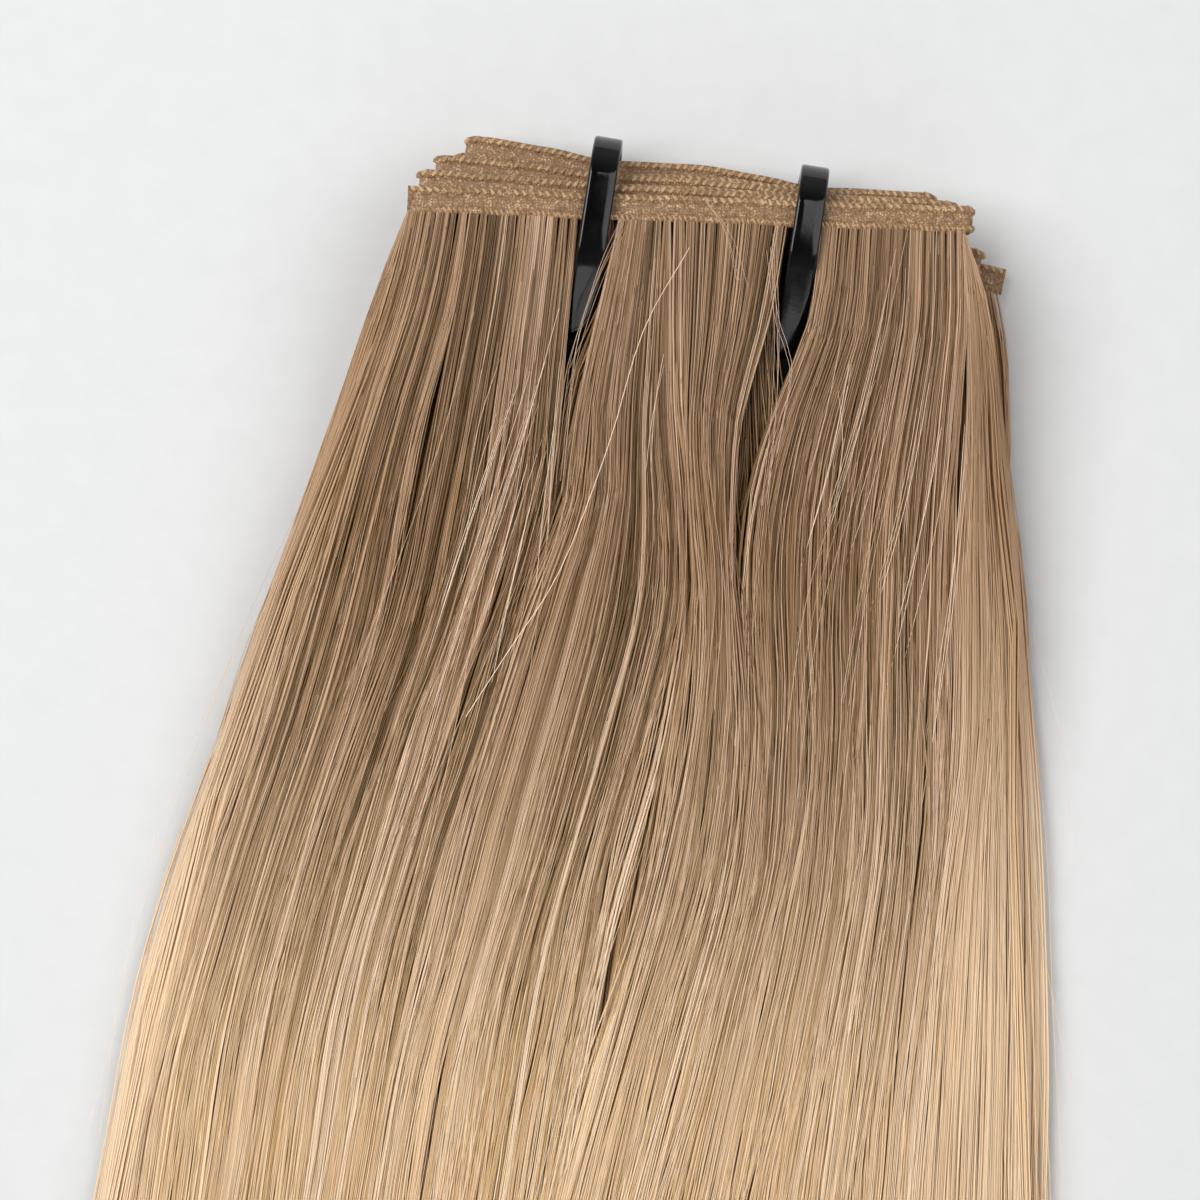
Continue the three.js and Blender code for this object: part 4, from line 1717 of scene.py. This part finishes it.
@dataclass
class LooseHairs:
    """Single hairs that left the combed mass: over the ties, across the locks and off both sides."""

    stack: FoldedStack
    steps: int = 20
    seed: int = 31
    scatter: float = 0.7
    copy_rise: float = 0.1
    # Loose hairs get light shades: painted highlights for the light that they catch.
    shades: tuple[float, float] = (0.7, 1.0)
    paths: tuple[LooseHair, ...] = (
        LooseHair((-53.2, -61.9, -68.6, -72.0, -74.4), (-48.4, -64.1, -81.9, -98.6, -115.4),
                  (0.5, 0.6, 0.6, 0.5, 0.3)),
        LooseHair((-47.5, -55.6, -63.4, -70.2, -76.2), (-33.0, -50.0, -70.0, -92.0, -116.0),
                  (0.6, 0.6, 0.6, 0.5, 0.2)),
        LooseHair((43.5, 47.9, 48.4), (-52.2, -68.5, -81.9), (0.5, 0.5, 0.3)),
        LooseHair((43.1, 46.0, 48.6), (-81.9, -98.6, -110.6), (0.4, 0.4, 0.2)),
        LooseHair((0.0, -5.8, -10.3, -16.3, -22.7, -28.1), (-4.7, -15.3, -30.0, -45.3, -55.2, -63.4),
                  (1.03, 1.1, 1.12, 1.15, 1.15, 1.12), diameter=0.13, painted_glint_lead=60.0),
        LooseHair((-8.1, -10.6, -12.5, -14.0, -14.8, -16.2), (-1.1, -6.5, -11.5, -16.5, -20.9, -34.0),
                  (1.0, 1.12, 1.08, 1.06, 1.04, 1.04), 5),
        LooseHair((10.5, 10.4, 10.6, 10.2, 9.0), (-2.9, -9.0, -17.0, -25.9, -37.0),
                  (1.0, 1.06, 1.06, 1.06, 1.06), 3),
        LooseHair((9.7, 10.6, 12.0, 12.5, 10.8), (-5.0, -13.4, -17.8, -21.5, -31.0),
                  (1.0, 1.07, 1.06, 1.06, 1.05), 2),
        LooseHair((2.0, 4.5, 6.2), (1.2, -3.0, -9.0), (1.05, 1.14, 1.1), 3),
        LooseHair((-27.0, -30.6, -36.2, -43.0), (-12.0, -27.0, -43.0, -60.0), (1.05, 1.1, 1.12, 1.1), 2),
        LooseHair((-20.0, -25.4, -30.2, -34.6), (-24.0, -40.0, -56.0, -72.0), (1.05, 1.1, 1.13, 1.1), 3),
        LooseHair((-17.0, -21.4, -28.0, -35.8), (-30.0, -46.0, -62.0, -80.0), (1.05, 1.1, 1.13, 1.1), 2),
        LooseHair((29.0, 26.2, 22.6, 20.0), (-16.0, -30.0, -46.0, -62.0), (1.06, 1.1, 1.12, 1.1), 3),
        LooseHair((24.0, 19.6, 15.6, 13.4), (-22.0, -36.0, -50.0, -66.0), (1.06, 1.1, 1.12, 1.1), 3),
        LooseHair((3.0, 1.6, 3.2, 2.0), (-14.0, -30.0, -46.0, -62.0), (1.06, 1.12, 1.13, 1.1), 2),
        CrossingHair((-22.7, -26.6, -28.7), (-15.3, -27.8, -40.2), copies=2),
        CrossingHair((-19.5, -27.2, -34.5), (-15.6, -37.4, -59.3), copies=3),
        CrossingHair((-16.6, -23.3, -31.0), (-16.6, -38.0, -59.3), copies=6),
        CrossingHair((-16.0, -17.1, -17.9), (-15.3, -28.6, -41.8), copies=3),
        CrossingHair((-18.5, -22.9, -27.1), (-25.2, -41.0, -57.1), copies=3),
        CrossingHair((-2.3, -4.7, -5.9), (-15.6, -26.3, -37.0), copies=2),
        CrossingHair((25.6, 20.8, 14.4), (-9.0, -29.0, -50.0), copies=3),
        CrossingHair((27.6, 23.6, 17.4), (-8.0, -28.0, -49.0), copies=3),
        CrossingHair((30.8, 26.8, 20.8), (-14.0, -36.0, -58.0), copies=3),
        CrossingHair((32.8, 28.8, 22.6), (-18.0, -41.0, -64.0), copies=2),
        CrossingHair((34.2, 30.2, 24.8), (-22.0, -43.0, -65.0), copies=2),
        CrossingHair((35.2, 32.8, 29.2), (-26.0, -47.0, -70.0), copies=3),
        CrossingHair((17.9, 19.1, 17.2), (-17.5, -29.6, -41.8)),
        CrossingHair((21.6, 17.9, 12.4), (-13.0, -31.0, -50.0), copies=3),
        CrossingHair((10.5, 7.8, 6.4), (-26.4, -38.0, -49.7), copies=2),
    )

    def strands(self) -> StrandSet:
        """Follows each path, once for each copy, with a small drift between copies.

        Returns:
            The loose hairs.
        """
        rng = np.random.default_rng(self.seed)
        points, diameters, reach = [], [], []
        along = np.linspace(0, 1, self.steps + 1)
        for path in self.paths:
            knots = np.linspace(0, 1, len(path.x))
            for copy in range(path.copies):
                sway = rng.normal(0, self.scatter, 2) * (copy > 0)
                x = hermite(along, knots, np.array(path.x)) + sway[0] + sway[1] * along
                y = hermite(along, knots, np.array(path.y)) + rng.normal(0, path.slip) * (copy > 0)
                top = self.stack.bottom(0, x, y) + self.stack.pitch(x, y)
                z = top * hermite(along, knots, np.array(path.share)) + self.copy_rise * copy
                points.append(np.stack([x, y, z], axis=-1))
                diameters.append(np.full(len(along), path.diameter))
                # The painted_glint_lead turns the hair blonde sooner, painting it lighter as a glint.
                reach.append(np.maximum(-y, 0) + path.painted_glint_lead)
        shades = rng.uniform(*self.shades, len(points))
        return StrandSet(np.stack(points), np.stack(diameters), shades, np.stack(reach))


# Cable ties


@dataclass(frozen=True)
class LoopCorner:
    """A corner of the strap's inner outline, with its radius."""

    y: float
    z: float
    radius: float


@dataclass
class CableTie:
    """A cable tie: a strap looped round the stack and the locking head that it runs through."""

    stack: FoldedStack
    site: TieSite
    strap_width: float = 3.6
    strap_thickness: float = 1.2
    edge_radius: float = 0.36
    top_clearance: float = 0.4
    knee_y: float = -5.0
    under_arch_radius: float = 4.0
    arch_radius: float = 5.0
    knee_radius: float = 10.0
    head_radius: float = 4.0
    under_head_radius: float = 2.5
    head_end_z: float = 8.0
    head_width: float = 5.6
    head_length: float = 5.0
    head_height: float = 6.5
    head_bevel: float = 0.6
    head_overhang: float = 1.6
    head_middle_z: float = 5.8
    bevel_steps: int = 4
    arc_steps: int = 12
    roll: float = math.radians(5)

    def corners(self) -> tuple[LoopCorner, ...]:
        """Corners of the inner outline, from under the arch round to under the head."""
        low = self.strap_thickness
        high = self.stack.top + self.top_clearance
        return (
            LoopCorner(self.site.arch_y, low, self.under_arch_radius),
            LoopCorner(self.site.arch_y, high, self.arch_radius),
            LoopCorner(self.knee_y, high, self.knee_radius),
            LoopCorner(self.site.head_y, self.head_end_z, self.head_radius),
            LoopCorner(self.site.head_y, low, self.under_head_radius),
        )

    def loop(self) -> tuple[np.ndarray, np.ndarray]:
        """Follows the middle of the strap.

        Returns:
            Places and outward directions in the tie's own upright plane, as Y and Z.
        """
        corners = [np.array([c.y, c.z]) for c in self.corners()]
        places, outward = [], []
        for i, corner in enumerate(self.corners()):
            back = corners[i - 1] - corners[i]
            ahead = corners[(i + 1) % len(corners)] - corners[i]
            back /= np.linalg.norm(back)
            ahead /= np.linalg.norm(ahead)
            half = math.acos(np.clip(back @ ahead, -1, 1)) / 2
            inward = (back + ahead) / np.linalg.norm(back + ahead)
            centre = corners[i] + inward * corner.radius / math.sin(half)
            middle = math.atan2(-inward[1], -inward[0])
            turn = math.pi / 2 - half
            angle = np.linspace(middle - turn, middle + turn, self.arc_steps)
            way = np.stack([np.cos(angle), np.sin(angle)], axis=1)
            places.append(centre + way * (corner.radius + self.strap_thickness / 2))
            outward.append(way)
        return np.concatenate(places), np.concatenate(outward)

    def upright(self, across: np.ndarray, y: np.ndarray, z: np.ndarray, place: bool = True) -> np.ndarray:
        """Leans the tie's own plane across the band and puts it in its place.

        Args:
            across: Places across the strap.
            y: Places along the tie's plane.
            z: Heights.
            place: Whether to move to the tie's place, or only to turn.

        Returns:
            Layout points or directions.
        """
        cos, sin = math.cos(self.stack.tie_lean), math.sin(self.stack.tie_lean)
        x = across * cos + y * sin + (self.site.x if place else 0)
        return np.stack([x, y * cos - across * sin, np.broadcast_to(z, np.shape(x))], axis=-1)

    def build(self, recipe: NodeRecipe, finish: bpy.types.Material) -> bpy.types.Object:
        """Makes the strap and the head as one moulding.

        Args:
            recipe: The tree that sweeps a strap.
            finish: The nylon.

        Returns:
            The piece.
        """
        places, ways = self.loop()
        points = self.stack.to_frame(self.upright(np.zeros(len(places)), places[:, 0], places[:, 1]))
        tilt = math.tan(self.roll) * np.clip(ways[:, 1], 0, 1)
        outward = self.upright(tilt, ways[:, 0], ways[:, 1], place=False)
        outward /= np.linalg.norm(outward, axis=1)[:, None]
        name = f"cable_{self.site.node}"
        piece = make_object(name, line_mesh(name, points[None], {"outward": outward[None]}, closed=True))
        recipe.apply(piece, {
            "Width": self.strap_width * MM,
            "Thickness": self.strap_thickness * MM,
            "Edge Radius": self.edge_radius * MM,
            "Edge Steps": self.bevel_steps,
            "Material": finish,
        })
        shape = bmesh.new()
        shape.from_mesh(piece.data)
        self.add_head(shape)
        shape.to_mesh(piece.data)
        shape.free()
        drop_attributes(piece.data, "outward")
        return piece

    def add_head(self, shape: bmesh.types.BMesh) -> None:
        """Adds the locking head, a block with rounded edges, to the strap's mesh."""
        block = bmesh.ops.create_cube(shape, size=1.0)["verts"]
        for vert in block:
            across, y, z = vert.co
            point = self.upright(
                np.array(across * self.head_width),
                np.array(self.site.head_y - self.head_overhang + y * self.head_length),
                np.array(self.head_middle_z + z * self.head_height),
            )
            vert.co = self.stack.to_frame(point)
        edges = list({edge for vert in block for edge in vert.link_edges})
        rounded = bmesh.ops.bevel(
            shape, geom=edges, offset=self.head_bevel * MM, segments=self.bevel_steps, profile=0.5,
            affect="EDGES",
        )
        for face in rounded["faces"]:
            face.smooth = True


# Studio


@dataclass(frozen=True)
class SoftBox:
    """A square soft light, aimed at the middle of the view."""

    name: str
    place: tuple[float, float, float]
    size: float
    power: float


@dataclass
class Studio:
    """The surface, the soft light and the camera."""

    stack: FoldedStack
    view_middle: tuple[float, float, float] = (-11.25, -49.0, 13.35)
    view_width: float = 150.0
    distance: float = 600.0
    elevation: float = math.radians(85)
    sensor: float = 36.0
    clip_end: float = 50.0
    floor_size: float = 6.0
    boxes: tuple[SoftBox, ...] = (
        SoftBox("key softbox", (-0.64, 0.25, 1.0), 1.0, 14.5),
        SoftBox("fill softbox", (0.85, 0.1, 1.15), 1.2, 7.4),
        SoftBox("front softbox", (0.1, -1.1, 0.65), 0.8, 2.3),
    )
    world_low: str = "#a6a6a6"
    world_high: str = "#404040"
    world_stops: tuple[float, float] = (0.35, 0.95)
    world_strength: float = 0.8

    def build_floor(self, finish: bpy.types.Material) -> bpy.types.Object:
        """Makes the surface that the object lies on."""
        mesh = bpy.data.meshes.new("floor")
        half = self.floor_size / 2
        corners = [(-half, -half, 0), (half, -half, 0), (half, half, 0), (-half, half, 0)]
        mesh.from_pydata(corners, [], [(0, 1, 2, 3)])
        mesh.materials.append(finish)
        floor = make_object("floor", mesh)
        return floor

    def build_lights(self) -> None:
        """Makes the soft lights and a pale surrounding that is darker overhead."""
        target = self.stack.to_frame(np.array(self.view_middle))
        for box in self.boxes:
            data = bpy.data.lights.new(box.name, "AREA")
            data.shape = "SQUARE"
            data.size = box.size
            data.energy = box.power
            light = bpy.data.objects.new(box.name, data)
            light.location = [float(t) + p for t, p in zip(target, box.place)]
            light.rotation_euler = self.aimed(np.array(light.location), target)
            bpy.context.scene.collection.objects.link(light)
        world = bpy.data.worlds.new("studio surrounding")
        world.use_nodes = True
        tree = world.node_tree
        way = add_node(tree, "ShaderNodeTexCoord")
        parts = add_node(tree, "ShaderNodeSeparateXYZ", {"Vector": port(way.outputs, "Generated")})
        ramp = add_node(tree, "ShaderNodeValToRGB", {"Fac": port(parts.outputs, "Z")})
        set_ramp(ramp.color_ramp, dict(zip(self.world_stops, (self.world_low, self.world_high))))
        feed(tree, tree.nodes["Background"], {"Color": ramp, "Strength": self.world_strength})
        bpy.context.scene.world = world

    def aimed(self, place: np.ndarray, target: np.ndarray) -> tuple[float, float, float]:
        """Turns a light from its place towards a target.

        Args:
            place: Where the light is.
            target: What it points at.

        Returns:
            Euler angles.
        """
        way = target - place
        flat = math.hypot(way[0], way[1])
        return (math.atan2(flat, -way[2]), 0.0, math.atan2(way[1], way[0]) - math.pi / 2)

    def build_camera(self) -> None:
        """Makes the camera, nearly overhead, a little from the side of the tips."""
        middle = self.stack.to_frame(np.array(self.view_middle))
        data = bpy.data.cameras.new("camera")
        data.sensor_width = self.sensor
        data.lens = self.sensor * self.distance / self.view_width
        data.clip_end = self.clip_end
        camera = bpy.data.objects.new("camera", data)
        away = np.array([0.0, -math.cos(self.elevation), math.sin(self.elevation)])
        camera.location = middle + away * self.distance * MM
        camera.rotation_euler = (math.pi / 2 - self.elevation, 0.0, 0.0)
        bpy.context.scene.collection.objects.link(camera)
        bpy.context.scene.camera = camera
        bpy.context.scene.view_settings.view_transform = "Standard"


def hand_over(piece: bpy.types.Object, slot: Slot, *nodes: str) -> None:
    """Fastens a finished piece to the frame and reports it.

    Args:
        piece: The piece.
        slot: The record's slot that its finish belongs to; not used.
        *nodes: CAD nodes that it stands for.
    """
    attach(piece, BODY)
    if nodes:
        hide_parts(*nodes)
    triangles = sum(len(face.vertices) - 2 for face in piece.data.polygons)
    LOG.info("%s: %d triangles", piece.name, triangles)


def main() -> None:
    """Builds the band, the hair, the ties and the studio."""
    logging.basicConfig(level=logging.INFO, format="%(message)s")
    stack = FoldedStack()
    band = WeftBand(stack)
    band.place_stack()
    studio = Studio(stack)
    studio.build_camera()
    studio.build_lights()
    studio.build_floor(StudioPaper().build())
    hand_over(band.build_tape(WeftTape().build()), Slot.BAND, "weft_band")
    hand_over(band.build_stitching(SewingThread().build()), Slot.BAND)
    hair = OmbreHair().build()
    tubes = strand_recipe()
    faces = (
        ("hair_strands_1", FaceHair(stack, seed=11, count=1000, spill=0.35, diameter=0.25)),
        ("hair_face_locks", FaceHair(stack, seed=12, lift=0.2)),
        ("hair_face_wisps", FaceHair(
            stack, seed=13, lift=0.3, diameter=0.105, count=850, fine_tone=0.3, wide_tone=0.1, own_tone=0.6)),
    )
    for name, face in faces:
        nodes = ("hair_curtain_1",) if name == "hair_strands_1" else ()
        hand_over(face.strands().build(name, stack, tubes, hair), Slot.HAIR, *nodes)
    curtains = (
        # The two runs under the top one get tone 0.7: painted shade where they show in the partings.
        HairCurtain(stack, run=1, count=900, left_inset=1.0, right_inset=1.4, cover_lag=0.0, tone=0.7),
        HairCurtain(stack, run=2, left_inset=1.4, right_inset=1.4, tip_inset=7, cover_lag=3.0, tone=0.7),
        HairCurtain(stack, run=3, left_inset=2.4, right_inset=1.0, tip_inset=3),
        HairCurtain(stack, run=4, left_inset=1.2, right_inset=1.2, tip_inset=9),
        HairCurtain(stack, run=5, left_inset=2.0, right_inset=0.8, tip_inset=2),
        HairCurtain(stack, run=6, left_inset=1.4, right_inset=0.6, tip_inset=6),
        HairCurtain(stack, run=7, left_inset=1.0, right_inset=0.2, tip_inset=1),
        HairCurtain(stack, run=8, count=900, left_inset=0.8, right_inset=0.4, tip_inset=5),
    )
    for curtain in curtains:
        place = curtain.run + 1
        strands = curtain.strands().build(f"hair_strands_{place}", stack, tubes, hair)
        hand_over(strands, Slot.HAIR, f"hair_curtain_{place}")
    loose = LooseHairs(stack)
    hand_over(loose.strands().build("loose_hairs", stack, tubes, hair), Slot.HAIR)
    nylon = MouldedNylon().build()
    sweep = strap_recipe()
    for site in stack.ties:
        hand_over(CableTie(stack, site).build(sweep, nylon), Slot.TIE, site.node)


if __name__ == "__main__":
    main()
